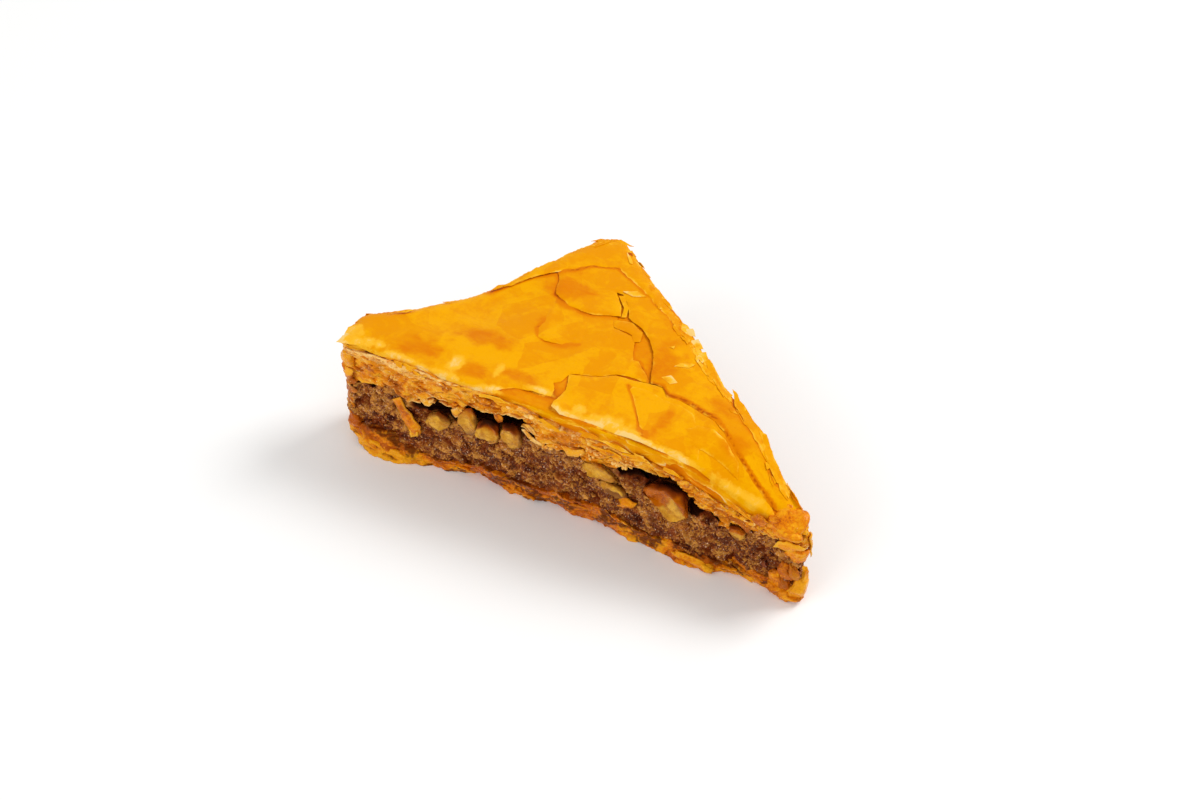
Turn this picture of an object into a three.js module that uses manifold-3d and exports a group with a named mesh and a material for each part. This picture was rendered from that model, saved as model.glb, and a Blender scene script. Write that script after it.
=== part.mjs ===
// A triangular piece of baklava, cut from a tray: filo crust, walnut filling and filo base.
// Millimetres, +Z up. +X runs along the long cut face, which looks towards -Y, and the
// origin is at the centre of the piece's box, on the surface that it stands on.
import * as THREE from "three";
import { mergeVertices } from "three/addons/utils/BufferGeometryUtils.js";
import Module from "manifold-3d";

const wasm = await Module();
wasm.setup();

// Driving dimensions.
const LONG_FACE = 88; // the long cut face, from the blunt left end to the right tip
const DEPTH = 45; // from the long cut face to the back corner
const HEIGHT = 25.5; // the crust's top above the table
const BASE_TOP = 3.9; // the base pastry's upper face
const FILLING_TOP = 16.4; // the filling's upper face in the middle of the piece
const SEAT_GAP = 0.3; // between base and filling
const CRUST_GAP = 0.42; // between filling and crust, whose rims don't stand above each other
const POCKET_GAP = 0.35; // round a walnut piece in its pocket
const BACK_CORNER = 0.36; // the back corner's place along the long face, as a share
const LEFT_END = 8; // the blunt left end
const BACK_END = 4.6; // the blunt back corner
const TIP_END = 2; // the blunt right tip
const CORNER_ROUND = 1.6; // how far each cut corner is rounded
const BEND_ROUND = 4; // how far each bend of the hollow left cut is rounded
const RIGHT_BOW = 1; // how far the right cut bows inwards
const CRUST_OVERHANG = 0.4; // the crust's rim outside the nominal cut
const FILLING_SET_BACK = 0.5; // the filling's face inside the nominal cut
const BASE_FLARE = 0.3; // the base's rim outside the nominal cut
const LEAF_GROOVE = 0.55; // how deep the crust's side dips between two bundles of leaves
const FRONT = -DEPTH / 2 + 2.4; // the long cut face's y
const ROUND_POINTS = 70; // points round each layer
const RINGS = [0.22, 0.46, 0.64, 0.78, 0.9, 1]; // a layer's rings, as shares of the way to its rim
const CHIP_DETAIL = 1; // how often a walnut piece's icosahedron is divided

// The bends of the hollow left cut, from the back corner on, as [x, distance behind the long face].
const LEFT_BENDS = [
  [-20.8, 31.8],
  [-37, 12.4],
];

// How far the crust sags over the long face, from x to x, towards the thin right tip. It
// reaches further back at the tip, from tipFrom on.
const SAG = { from: 14, to: 42, depth: 7.2, reach: 9.5, tipFrom: 26, tipReach: 20 };
// The middle of the left cut lies a little lower than the corners.
const LEFT_DIP = { x: -28, y: 0.9, radius: 15, depth: 1.3 };
// The filling's upper face along the long cut, as [x, z].
const FILLING_LINE = [
  [-46, 15.0],
  [-28, 14.8],
  [-9, 18.4],
  [-2, 16.4],
  [9, 16.0],
  [18, 16.6],
  [24, 13.8],
  [34, 14.4],
  [40, 13.6],
  [46, 11.6],
];
const FILLING_LINE_REACH = 9; // how far behind the long face that line still tells

// Hollows between filling and crust that open at a cut face.
const HOLLOWS = [
  { x: -25.6, y: -20.5, radius: 5.4, rise: 2.7 },
  { x: -16.2, y: -20.5, radius: 4.6, rise: 2.2 },
  { x: -9.6, y: -20.5, radius: 3.4, rise: 2.1 },
  { x: 17.6, y: -20.5, radius: 7.6, rise: 3.0 },
  { x: 26.6, y: -20.5, radius: 4.4, rise: 1.3 },
  { x: 12.5, y: 6.6, radius: 5.6, rise: 2.2 },
  { x: -30.8, y: -1.8, radius: 4.6, rise: 1.7 },
];

// Where a layer's rim stands proud of the straight cut, as [x, y, radius, push].
const BASE_BULGES = [
  [-37.5, -20, 9, 2.1],
  [-9, -20, 14, -1.1],
  [21, -20, 10, 0.5],
  [44, -19, 4, 0.4],
];
const FILLING_BULGES = [
  [-9, -20, 14, -0.4],
  [20, -20, 8, 0.4],
];
const CRUST_BULGES = [
  [-42, -18, 6, 0.5],
  [38, -20, 8, 0.9],
];

// Walnut pieces that show at a cut face: centre, half sizes, and the turn of the long axis
// in the plane of the face. "face" is the way that the cut face looks, in degrees round +Z.
const FRONT_FACE = -90;
const RIGHT_FACE = 52;
const LEFT_FACE = 140;
const WALNUTS = [
  { at: [-25.3, -19.2, 12.9], half: [2.8, 1.9, 2.3], turn: 18, face: FRONT_FACE },
  { at: [-19.2, -19.0, 15.9], half: [1.8, 1.7, 2.6], turn: -8, face: FRONT_FACE },
  { at: [-15.1, -19.3, 15.1], half: [1.9, 1.8, 1.7], turn: -10, face: FRONT_FACE },
  { at: [-10.9, -19.2, 15.7], half: [1.8, 1.9, 3.0], turn: -10, face: FRONT_FACE },
  { at: [4.8, -19.1, 14.7], half: [2.2, 1.9, 2.2], turn: -24, face: FRONT_FACE },
  { at: [9.0, -19.2, 12.3], half: [2.1, 1.9, 2.1], turn: -24, face: FRONT_FACE },
  { at: [19.0, -18.8, 13.8], half: [4.3, 2.6, 4.2], turn: -30, face: FRONT_FACE },
  { at: [32.1, -19.2, 12.2], half: [1.6, 1.5, 1.9], turn: 8, face: FRONT_FACE },
  { at: [1.6, 14.0, 11.6], half: [3.7, 2.1, 2.4], turn: 14, face: RIGHT_FACE },
  { at: [13.0, 5.2, 12.6], half: [3.0, 2.0, 2.3], turn: -22, face: RIGHT_FACE },
  { at: [27.6, -6.0, 10.4], half: [3.4, 2.0, 2.1], turn: 10, face: RIGHT_FACE },
  { at: [-22.2, 8.7, 12.2], half: [3.3, 2.0, 2.4], turn: -12, face: LEFT_FACE },
  { at: [-31.7, -2.8, 11.2], half: [2.9, 1.9, 2.2], turn: 20, face: LEFT_FACE },
];

const COLOURS = {
  crust: 0xf2a010,
  filling: 0x8a5530,
  walnut: 0xc08f42,
  base: 0xd98a1c,
};

const { clamp, smoothstep, lerp, degToRad } = THREE.MathUtils;

// A smooth value of about -1 to 1 that differs from place to place.
function waver(x, y, z, seed) {
  const a = Math.sin(0.61 * x + 0.37 * y + 0.83 * z + seed);
  const b = Math.sin(1.27 * y - 0.71 * z + 0.29 * x + 2.1 * seed);
  const c = Math.sin(1.93 * z + 1.49 * x - 0.53 * y + 3.7 * seed);
  return (a + b + c) / 3;
}

// 1 at a spot's centre, falling smoothly to 0 at its radius.
function spot(x, y, { x: cx, y: cy, radius }) {
  return 1 - smoothstep(Math.hypot(x - cx, y - cy), 0, radius);
}

// The value at x of a line of [x, value] pairs.
function along(line, x) {
  const next = clamp(line.findIndex(([at]) => at > x), 1, line.length - 1);
  const [x0, v0] = line[next - 1];
  const [x1, v1] = line[next];
  return lerp(v0, v1, smoothstep(x, x0, x1));
}

// Nominal plan outline: a right-angled triangle with three blunt corners and a hollow left cut.
function cutOutline() {
  const left = -LONG_FACE / 2;
  const right = LONG_FACE / 2;
  const backX = left + LONG_FACE * BACK_CORNER;
  const corners = [
    [left, 0],
    [right, 0],
    [right + 0.4, TIP_END],
    [backX + BACK_END / 2, DEPTH],
    [backX - BACK_END / 2, DEPTH - 1.5],
    ...LEFT_BENDS,
    [left - 0.4, LEFT_END],
  ].map(([x, behind]) => new THREE.Vector2(x, FRONT + behind));
  const bends = [5, 6];
  const bows = { 2: RIGHT_BOW };
  const outline = new THREE.Shape();
  corners.forEach((corner, i) => {
    const before = corners[(i + corners.length - 1) % corners.length];
    const after = corners[(i + 1) % corners.length];
    const wanted = bends.includes(i) ? BEND_ROUND : CORNER_ROUND;
    const round = Math.min(wanted, corner.distanceTo(after) / 2.2, corner.distanceTo(before) / 2.2);
    const enter = corner.clone().lerp(before, round / corner.distanceTo(before));
    const leave = corner.clone().lerp(after, round / corner.distanceTo(after));
    if (i === 0) outline.moveTo(enter.x, enter.y);
    else outline.lineTo(enter.x, enter.y);
    outline.quadraticCurveTo(corner.x, corner.y, leave.x, leave.y);
    if (bows[i]) {
      const reach = after.clone().lerp(corner, CORNER_ROUND / corner.distanceTo(after));
      const inwards = after.clone().sub(corner).normalize().rotateAround(new THREE.Vector2(), Math.PI / 2);
      const middle = leave.clone().lerp(reach, 0.5).addScaledVector(inwards, 2 * bows[i]);
      outline.quadraticCurveTo(middle.x, middle.y, reach.x, reach.y);
    }
  });
  outline.closePath();
  return outline.getSpacedPoints(ROUND_POINTS).slice(0, ROUND_POINTS);
}

const CUT = cutOutline();
const CENTRE = new THREE.Vector2(-5, FRONT + DEPTH * 0.32);

// Rim i of the outline, moved outwards by out and by the bulges near it.
function rimPoint(i, out, bulges) {
  const n = CUT.length;
  const tangent = CUT[(i + 1) % n].clone().sub(CUT[(i + n - 1) % n]).normalize();
  const p = CUT[i];
  const push = bulges.reduce((sum, [x, y, radius, by]) => sum + by * spot(p.x, p.y, { x, y, radius }), out);
  return new THREE.Vector2(p.x + tangent.y * push, p.y - tangent.x * push);
}

function topHeight(x, y) {
  const reach = SAG.reach + SAG.tipReach * smoothstep(x, SAG.tipFrom, SAG.to);
  const inwards = clamp((y - FRONT) / reach, 0, 1);
  const sag = SAG.depth * smoothstep(x, SAG.from, SAG.to) * (1 - inwards) ** 1.5;
  const dip = LEFT_DIP.depth * spot(x, y, LEFT_DIP);
  return HEIGHT - sag - dip + 0.35 * waver(x * 0.4, y * 0.4, 0, 1.3);
}

function fillingHeight(x, y) {
  const near = 1 - smoothstep(y - FRONT, 0, FILLING_LINE_REACH);
  const middle = FILLING_TOP - 3.4 * smoothstep(x, 20, 40);
  return lerp(middle, along(FILLING_LINE, x), near) + 0.2 * waver(x, y, 0, 4.2);
}

function crustUnderside(x, y) {
  const rise = HOLLOWS.reduce((sum, hollow) => sum + hollow.rise * spot(x, y, hollow), 0);
  return Math.min(fillingHeight(x, y) + CRUST_GAP + rise, topHeight(x, y) - 2.2);
}

const baseTop = (x, y) => BASE_TOP + 0.25 * waver(x * 0.5, y * 0.5, 0, 2.6);

// The base stands flat, with its rim turned up a little, most of all at the left end.
function baseUnderside(x, y, share) {
  const leftLift = 2.2 * smoothstep(-x, 39.5, 45);
  return share < 1 ? 0 : 0.35 + leftLift;
}

// One layer of the piece as a closed grid: rings of points under it, up its side and over it.
// All layers share their inner rings, so that two of them keep the same gap everywhere.
function layerGeometry({ out, bulges, under, over, side }) {
  const positions = [];
  const ring = (share, extra, height) => {
    for (let i = 0; i < ROUND_POINTS; i++) {
      const rim = share < 1 ? CUT[i] : rimPoint(i, out + extra(i), bulges);
      const p = CENTRE.clone().lerp(rim, share);
      positions.push(p.x, p.y, height(p.x, p.y, share));
    }
  };
  const none = () => 0;
  RINGS.forEach((share) => ring(share, none, under));
  side.forEach(({ up, push }) => ring(1, push, (x, y) => lerp(under(x, y, 1), over(x, y), up)));
  [...RINGS].reverse().forEach((share) => ring(share, none, over));
  const rows = positions.length / 3 / ROUND_POINTS;
  const poles = [under, over].map((height) => {
    positions.push(CENTRE.x, CENTRE.y, height(CENTRE.x, CENTRE.y, 0));
    return positions.length / 3 - 1;
  });
  const index = [];
  for (let i = 0; i < ROUND_POINTS; i++) {
    const next = (i + 1) % ROUND_POINTS;
    index.push(poles[0], next, i);
    for (let r = 0; r + 1 < rows; r++) {
      const [a, b] = [r * ROUND_POINTS + i, r * ROUND_POINTS + next];
      index.push(a, b, b + ROUND_POINTS, a, b + ROUND_POINTS, a + ROUND_POINTS);
    }
    const last = (rows - 1) * ROUND_POINTS;
    index.push(poles[1], last + i, last + next);
  }
  const geometry = new THREE.BufferGeometry();
  geometry.setAttribute("position", new THREE.Float32BufferAttribute(positions, 3));
  return geometry.setIndex(index);
}

// Ragged bundles of leaves: the side steps in between them and wanders along the cut.
function leafSteps(bundles, groove, seed) {
  const steps = [];
  for (let b = 0; b < bundles; b++) {
    const wander = (i) => 0.3 * waver(CUT[i].x, CUT[i].y, b * 3, seed + b);
    if (b > 0) steps.push({ up: b / bundles, push: (i) => wander(i) - groove });
    steps.push({ up: (b + 0.5) / bundles, push: wander });
  }
  return steps;
}

// A crumbly face: lumps that change with both place and height.
function lumpySide(rows, depth, seed) {
  return Array.from({ length: rows }, (_, r) => ({
    up: (r + 1) / (rows + 1),
    push: (i) => depth * waver(CUT[i].x * 1.1, CUT[i].y * 1.1, r * 2.3, seed),
  }));
}

const toSolid = (geometry) => {
  const bare = geometry.clone();
  ["normal", "uv"].forEach((name) => bare.deleteAttribute(name));
  const merged = mergeVertices(bare, 1e-4);
  return new wasm.Manifold(
    new wasm.Mesh({
      numProp: 3,
      vertProperties: merged.attributes.position.array,
      triVerts: new Uint32Array(merged.index.array),
    }),
  );
};

const toGeometry = (solid) => {
  const mesh = solid.getMesh();
  const geometry = new THREE.BufferGeometry();
  geometry.setAttribute("position", new THREE.BufferAttribute(mesh.vertProperties, 3));
  geometry.setIndex(new THREE.BufferAttribute(mesh.triVerts, 1));
  geometry.computeVertexNormals();
  return geometry;
};

// A chopped walnut piece: a rounded lump with broken hollows, grown by `grow` for its pocket.
function walnutGeometry({ half }, seed, grow) {
  const geometry = mergeVertices(new THREE.IcosahedronGeometry(1, CHIP_DETAIL).deleteAttribute("uv"), 1e-4);
  const p = geometry.attributes.position;
  for (let i = 0; i < p.count; i++) {
    const v = new THREE.Vector3().fromBufferAttribute(p, i).normalize();
    const lump = 1 + 0.13 * waver(v.x * 3, v.y * 3, v.z * 3, seed);
    p.setXYZ(i, ...v.toArray().map((value, axis) => value * (half[axis] * lump + grow)));
  }
  geometry.computeVertexNormals();
  return geometry;
}

// Turns a piece's own x axis along its cut face, and tilts it within that face.
function placeWalnut(mesh, { at, turn, face }) {
  mesh.position.set(...at);
  mesh.rotation.set(0, degToRad(-turn), degToRad(face + 90), "ZYX");
  mesh.updateMatrix();
  return mesh;
}

const material = (color, roughness) => new THREE.MeshStandardMaterial({ color, roughness, metalness: 0 });

const walnutMeshes = WALNUTS.map((walnut, i) => {
  const mesh = new THREE.Mesh(walnutGeometry(walnut, i + 1, 0), material(COLOURS.walnut, 0.55));
  mesh.name = `walnut_piece_${String(i + 1).padStart(2, "0")}`;
  return placeWalnut(mesh, walnut);
});

const pockets = WALNUTS.map((walnut, i) => {
  const pocket = placeWalnut(new THREE.Mesh(walnutGeometry(walnut, i + 1, POCKET_GAP)), walnut);
  return toSolid(pocket.geometry.applyMatrix4(pocket.matrix));
});

// Cuts every walnut pocket out of a layer and keeps its main body.
function withPockets(geometry) {
  const cut = pockets.reduce((solid, pocket) => solid.subtract(pocket), toSolid(geometry));
  const [main] = cut.decompose().sort((a, b) => b.volume() - a.volume());
  return toGeometry(main);
}

const crust = new THREE.Mesh(
  withPockets(
    layerGeometry({
      out: CRUST_OVERHANG,
      bulges: CRUST_BULGES,
      under: crustUnderside,
      over: topHeight,
      side: leafSteps(4, LEAF_GROOVE, 0.7),
    }),
  ),
  material(COLOURS.crust, 0.45),
);
crust.name = "filo_crust";

const filling = new THREE.Mesh(
  withPockets(
    layerGeometry({
      out: -FILLING_SET_BACK,
      bulges: FILLING_BULGES,
      under: (x, y) => baseTop(x, y) + SEAT_GAP,
      over: fillingHeight,
      side: lumpySide(5, 0.55, 5.1),
    }),
  ),
  material(COLOURS.filling, 0.7),
);
filling.name = "walnut_filling";

const base = new THREE.Mesh(
  layerGeometry({
    out: BASE_FLARE,
    bulges: BASE_BULGES,
    under: baseUnderside,
    over: baseTop,
    side: leafSteps(2, LEAF_GROOVE * 0.7, 3.3),
  }),
  material(COLOURS.base, 0.35),
);
base.name = "filo_base";

const piece = new THREE.Group();
piece.add(base, filling, crust, ...walnutMeshes);

// The origin goes to the centre of the box's foot.
const box = new THREE.Box3().setFromObject(piece, true);
const middle = box.getCenter(new THREE.Vector3());
piece.position.set(-middle.x, -middle.y, -box.min.z);

export default piece;
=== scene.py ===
"""A triangular piece of walnut baklava, made round its solid frame.

Lengths inside the functions are millimetres along the frame's axes: x along the long cut, z up.
On the leaves, w is the distance inwards from the long cut, and below 0 it hangs over that cut.
They become metres where a mesh is made.
"""

import itertools
import math

import bmesh
import bpy
import numpy as np
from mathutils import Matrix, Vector
from mathutils.geometry import delaunay_2d_cdt


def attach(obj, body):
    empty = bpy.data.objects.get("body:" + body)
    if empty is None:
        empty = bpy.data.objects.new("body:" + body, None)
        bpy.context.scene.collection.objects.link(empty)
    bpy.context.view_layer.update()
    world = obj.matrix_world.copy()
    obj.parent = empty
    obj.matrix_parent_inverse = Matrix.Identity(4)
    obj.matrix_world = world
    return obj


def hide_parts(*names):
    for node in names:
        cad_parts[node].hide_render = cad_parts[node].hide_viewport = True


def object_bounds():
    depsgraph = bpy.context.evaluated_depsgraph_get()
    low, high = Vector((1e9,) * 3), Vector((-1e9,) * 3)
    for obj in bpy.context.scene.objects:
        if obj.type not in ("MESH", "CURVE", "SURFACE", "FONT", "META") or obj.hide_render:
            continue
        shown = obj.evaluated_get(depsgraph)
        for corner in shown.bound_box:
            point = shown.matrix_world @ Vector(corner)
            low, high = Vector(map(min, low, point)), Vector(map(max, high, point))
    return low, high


bl_info = {
    "name": "Walnut baklava piece",
    "version": (1, 0, 0),
    "blender": (4, 5, 0),
    "location": "3D View > Sidebar > Baklava",
    "description": "Makes the leaves, filling, nuts and syrup of a triangular baklava piece",
    "category": "Add Mesh",
}

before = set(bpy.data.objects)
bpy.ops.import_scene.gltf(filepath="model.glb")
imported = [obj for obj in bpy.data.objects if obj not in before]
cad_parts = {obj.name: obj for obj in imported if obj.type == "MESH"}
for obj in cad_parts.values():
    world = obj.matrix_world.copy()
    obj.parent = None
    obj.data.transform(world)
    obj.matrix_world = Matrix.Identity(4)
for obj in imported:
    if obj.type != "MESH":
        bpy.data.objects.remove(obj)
CAD_LOW, CAD_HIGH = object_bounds()

MM = 0.001
LOW = np.array(CAD_LOW) / MM
HIGH = np.array(CAD_HIGH) / MM
BODY = "root"

# The cut piece, as its frame has it.
LONG_CUT = 88.0
DEPTH = 45.0
BASE_PROUD = 2.41  # how far the base's bulge stands before the long cut
FRONT = LOW[1] + BASE_PROUD
CREST = HIGH[2] - 0.95  # the top of the leaves, without their raised edges
BACK_SHARE = 0.36  # the back corner's place along the long cut
LEFT_END, BACK_END, TIP_END = 8.0, 4.6, 2.0
CORNER_ROUND = 1.6
LEFT_BENDS = [(-20.8, 31.8), (-37, 12.4)]  # where the hollow left cut turns, as (x, w)
BEND_ROUND = 4.0
RIGHT_BOW = 1.0  # how far the right cut bows inwards
CENTRE = np.array([-5.0, FRONT + DEPTH * 0.32])
RIM_STEP = 0.22  # between two points round the piece

SAG = {"from": 14.0, "to": 42.0, "depth": 7.2, "reach": 9.5, "tip_from": 26.0, "tip_reach": 20.0}
LEFT_DIP = {"x": -28.0, "w": 21.0, "radius": 15.0, "depth": 1.3}
EDGE_ROUND = 1.2  # the bend of a leaf over the long cut
STEEPEST = 1.35  # how far a hanging leaf turns down, in radians

# Heights along the long cut, as (x, z), and then from the right tip round the back to the left
# end, as (share of that way, z).
BASE_LINE = [
    (-44, 5.6), (-37, 4), (-30, 2.6), (-26, 2.8), (-19, 4.6), (-9, 4.8), (-1, 4.7), (6, 5.2), (14, 3.5),
    (22, 2.8), (35, 2.8), (40, 3.6), (44, 4.2),
]
BASE_LINE_BACK = [
    (0, 4.2), (0.15, 3.6), (0.3, 4.4), (0.5, 3.5), (0.6, 4.2), (0.8, 3.4), (0.95, 4.6), (1, 5.6),
]
# How far the base's foot stands before the cut.
FOOT_LINE = [
    (-44, 0.6), (-41.5, 1), (-39.8, 1.5), (-37, 2.3), (-35.7, 2.35), (-32.7, 1.9), (-30.1, 0.7),
    (-27.4, -0.3), (-24.1, -0.3), (-21.5, -1.2), (-18.8, -2), (-14.9, -1.1), (-8.3, -0.6), (-5.5, -1.3),
    (-2.4, -1.4), (1.1, -0.9), (4, -1.1), (7.6, -0.5), (14, 0.1), (17, 0), (20.7, 1), (24, 1.2), (27, 1.4),
    (29.2, -0.3), (32, -0.7), (38.2, -0.4), (41.5, 0.3), (43.8, 0.2),
]
FOOT_LINE_BACK = [
    (0, 0.1), (0.1, -0.4), (0.2, 0.3), (0.35, -0.3), (0.5, 0.2), (0.62, -0.3), (0.8, 0.2), (1, 0.5),
]
FLOOR_LINE = [
    (-44, 14.2), (-40, 15.7), (-38.6, 15.5), (-36.9, 16.3), (-35, 17.3), (-32.9, 16.1), (-31, 14.6),
    (-27.5, 14.6), (-25.4, 15.6), (-22.5, 14.8), (-21.3, 14.2), (-19.6, 17.6), (-17.4, 17.7), (-15, 17.8),
    (-13, 17.5), (-11.5, 18.5), (-8.8, 18.9), (-5.6, 17.2), (-2, 16.4), (5, 16.3), (11.4, 16.7),
    (14.2, 17.4), (15.4, 16.6), (17.7, 17.6), (19.9, 18), (21.7, 17.2), (22.9, 15.2), (23.5, 12.9),
    (24.8, 13.2), (26.5, 13.7), (27.8, 12.9), (29.2, 12), (30.4, 11.3), (31, 15.2), (32.4, 15.2),
    (33.7, 14.2), (34.6, 13.9), (35.8, 15.3), (37, 16.2), (38.5, 15.3), (40, 14), (44, 12),
]
ROOF_LINE = [
    (-44, 14.5), (-40, 16), (-38.6, 15.8), (-36.9, 16.6), (-35, 17.6), (-32.9, 16.4), (-31, 15.3),
    (-29.3, 16.8), (-28, 17.2), (-26.8, 18.2), (-25.4, 18.9), (-23.4, 18.2), (-21.4, 17.2), (-20.2, 18.6),
    (-19, 20), (-17.4, 20.1), (-15.6, 20), (-13.7, 20.2), (-11.7, 21.1), (-10, 21.5), (-8.6, 20.9),
    (-7.5, 19.6), (-5.6, 17.5), (-2, 16.7), (5, 16.6), (9.4, 17), (10.2, 19), (11.6, 19.7), (13.7, 19.2),
    (15.4, 19.9), (16.8, 20.5), (18.9, 20.5), (21.3, 19.9), (23.2, 18), (24.2, 15.7), (24.9, 14.2),
    (27.3, 14.9), (28.5, 14), (29.8, 12.6), (30.5, 11.9), (30.9, 15.6), (32.4, 15.6), (33.7, 14.6),
    (34.6, 14.3), (35.8, 15.7), (37, 16.6), (38.5, 15.7), (40, 14.4), (44, 12.4),
]
FLOOR_LINE_BACK = [
    (0, 12), (0.08, 13.2), (0.2, 14.6), (0.26, 14.2), (0.33, 15.4), (0.42, 16.4), (0.5, 15.8), (0.6, 16.6),
    (0.7, 15.2), (0.8, 15.6), (0.9, 15.2), (1, 14.2),
]
ROOF_LINE_BACK = [
    (0, 12.4), (0.08, 13.5), (0.19, 15), (0.225, 17.3), (0.26, 17.8), (0.3, 17.2), (0.33, 15.8),
    (0.42, 16.7), (0.5, 16.1), (0.6, 16.9), (0.69, 15.6), (0.73, 17.4), (0.77, 17.7), (0.81, 15.9),
    (0.9, 15.5), (1, 14.5),
]
SOAK_LINE = [
    (-44, 23.6), (-39, 24), (-33.5, 24.3), (-26, 24.1), (-16.6, 24), (-9, 23.9), (-5.5, 23.1), (-0.9, 22.6),
    (7.2, 21.9), (14.9, 21.8), (19.6, 20.9), (24.4, 19.6), (32.4, 16.8), (37.1, 14.9), (41, 14.6),
    (44, 15.6),
]
SOAK_LINE_BACK = [
    (0, 15.6), (0.06, 19.5), (0.12, 21.8), (0.25, 22.8), (0.5, 23.2), (0.62, 22.6), (0.75, 20.6),
    (0.9, 22.6), (1, 23.6),
]
INSIDE_REACH = 9.0  # how far in from the rim these lines still tell
FILLING_INSIDE = 16.2
BASE_INSIDE = 3.9


# ---------- numbers


def smooth(value, low, high):
    """0 below low, 1 above high, and an even curve between them."""
    t = np.clip((np.asarray(value, float) - low) / (high - low), 0, 1)
    return t * t * (3 - 2 * t)


def blend(a, b, share):
    """From a at share 0 to b at share 1."""
    return a + (b - a) * share


def linear(colour):
    """A display colour of 0 to 1 as the light values that shaders take."""
    c = np.asarray(colour, float)
    return np.where(c <= 0.04045, c / 12.92, ((c + 0.055) / 1.055) ** 2.4)


def hashed(cells, seed):
    """A repeatable value of 0 to 1 for each whole-number place (n, 3)."""
    x, y, z = cells[..., 0], cells[..., 1], cells[..., 2]
    h = (x * 374761393 + y * 668265263 + z * 1440662683 + seed * 974634521) & 0xFFFFFFFF
    h = ((h ^ (h >> 13)) * 1274126177) & 0xFFFFFFFF
    return ((h ^ (h >> 16)) & 0xFFFFFF) / 0xFFFFFF


def waves(points, size, seed=0):
    """Smooth noise of -1 to 1 at points (n, 3), with swells about size across."""
    p = np.asarray(points, float) / size
    cell = np.floor(p).astype(np.int64)
    f = p - cell
    u = f * f * (3 - 2 * f)
    total = np.zeros(p.shape[:-1])
    for corner in itertools.product((0, 1), repeat=3):
        weight = np.prod(np.where(corner, u, 1 - u), axis=-1)
        total += weight * hashed(cell + np.array(corner), seed)
    return 2 * total - 1


TURN = np.array([[0.36, 0.48, -0.8], [-0.8, 0.6, 0.0], [0.48, 0.64, 0.6]])


def rough(points, size, octaves=4, seed=0, gain=0.5):
    """Noise with finer and finer swells, of about -1 to 1."""
    p = np.asarray(points, float)
    total, reach, weight = 0.0, 0.0, 1.0
    for octave in range(octaves):
        total = total + weight * waves(p, size, seed + 17 * octave)
        reach += weight
        p, size, weight = p @ TURN.T, size * 0.5, weight * gain
    return 1.6 * total / reach


def crumbs(points, size, seed):
    """How far each point is from its nearest scattered centre and from the next one, in sizes, and that
    crumb's own value of 0 to 1."""
    p = np.asarray(points, float) / size
    cell = np.floor(p).astype(np.int64)
    first = np.full(p.shape[:-1], 9.0)
    second = first.copy()
    own = np.zeros_like(first)
    for step in itertools.product((-1, 0, 1), repeat=3):
        at = cell + np.array(step)
        centre = at + np.stack([hashed(at, seed + k) for k in (1, 2, 3)], -1)
        gap = np.linalg.norm(p - centre, axis=-1)
        nearer = gap < first
        second = np.where(nearer, first, np.minimum(second, gap))
        own = np.where(nearer, hashed(at, seed + 4), own)
        first = np.where(nearer, gap, first)
    return first, second, own


def to_segments(points, line):
    """The distance of each point (n, 2) from a run of straight stretches (m, 2)."""
    best = np.full(len(points), 1e9)
    for a, b in zip(line[:-1], line[1:]):
        along = b - a
        t = np.clip(((points - a) @ along) / max(along @ along, 1e-9), 0, 1)
        best = np.minimum(best, np.linalg.norm(points - a - t[:, None] * along, axis=1))
    return best


def to_outline(points, outline):
    """The distance of each point (n, 2) from a closed outline (m, 2)."""
    return to_segments(points, np.vstack([outline, outline[:1]]))


def max_near(points, lines, width):
    """How near points are to any of some lines: 1 on a line, 0 from width on."""
    return np.max([np.clip(1 - to_segments(points, np.array(line)) / width, 0, 1) for line in lines], axis=0)


def places_at(x, y, z=0.0):
    """Points (n, 3) to take noise at, all with the same third value."""
    return np.column_stack([x, y, np.full(len(x), float(z))])


def inside(points, outline):
    """Which points (n, 2) lie within a closed outline (m, 2)."""
    x, y = points[:, 0], points[:, 1]
    hit = np.zeros(len(points), bool)
    for (ax, ay), (bx, by) in zip(outline, np.roll(outline, -1, axis=0)):
        crosses = (ay > y) != (by > y)
        if ay != by:
            hit ^= crosses & (x < (bx - ax) * (y - ay) / (by - ay) + ax)
    return hit


# ---------- the cut outline and its heights


def cut_outline():
    """Dense plan outline of the cut piece, from the front left corner along the long cut."""
    left, right = -LONG_CUT / 2, LONG_CUT / 2
    back = left + LONG_CUT * BACK_SHARE
    corners = [
        (left, 0, CORNER_ROUND),
        (right, 0, CORNER_ROUND),
        (right + 0.4, TIP_END, CORNER_ROUND),
        (back + BACK_END / 2, DEPTH, CORNER_ROUND),
        (back - BACK_END / 2, DEPTH - 1.5, CORNER_ROUND),
        *((x, w, BEND_ROUND) for x, w in LEFT_BENDS),
        (left - 0.4, LEFT_END, CORNER_ROUND),
    ]
    places = np.array([(x, FRONT + w) for x, w, _ in corners])
    share = np.linspace(0, 1, 60)[:, None]
    dense = []
    for i, corner in enumerate(places):
        before, after = places[i - 1], places[(i + 1) % len(places)]
        to_before, to_after = np.linalg.norm(corner - before), np.linalg.norm(after - corner)
        bend = min(corners[i][2], to_before / 2.2, to_after / 2.2)
        enter = blend(corner, before, bend / to_before)
        leave = blend(corner, after, bend / to_after)
        dense.append((1 - share) ** 2 * enter + 2 * share * (1 - share) * corner + share**2 * leave)
        if corners[i][:2] == (right + 0.4, TIP_END):
            reach = blend(after, corner, CORNER_ROUND / to_after)
            along = (after - corner) / to_after
            middle = (leave + reach) / 2 + 2 * RIGHT_BOW * np.array([-along[1], along[0]])
            dense.append((1 - share) ** 2 * leave + 2 * share * (1 - share) * middle + share**2 * reach)
    return np.concatenate(dense)


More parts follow.
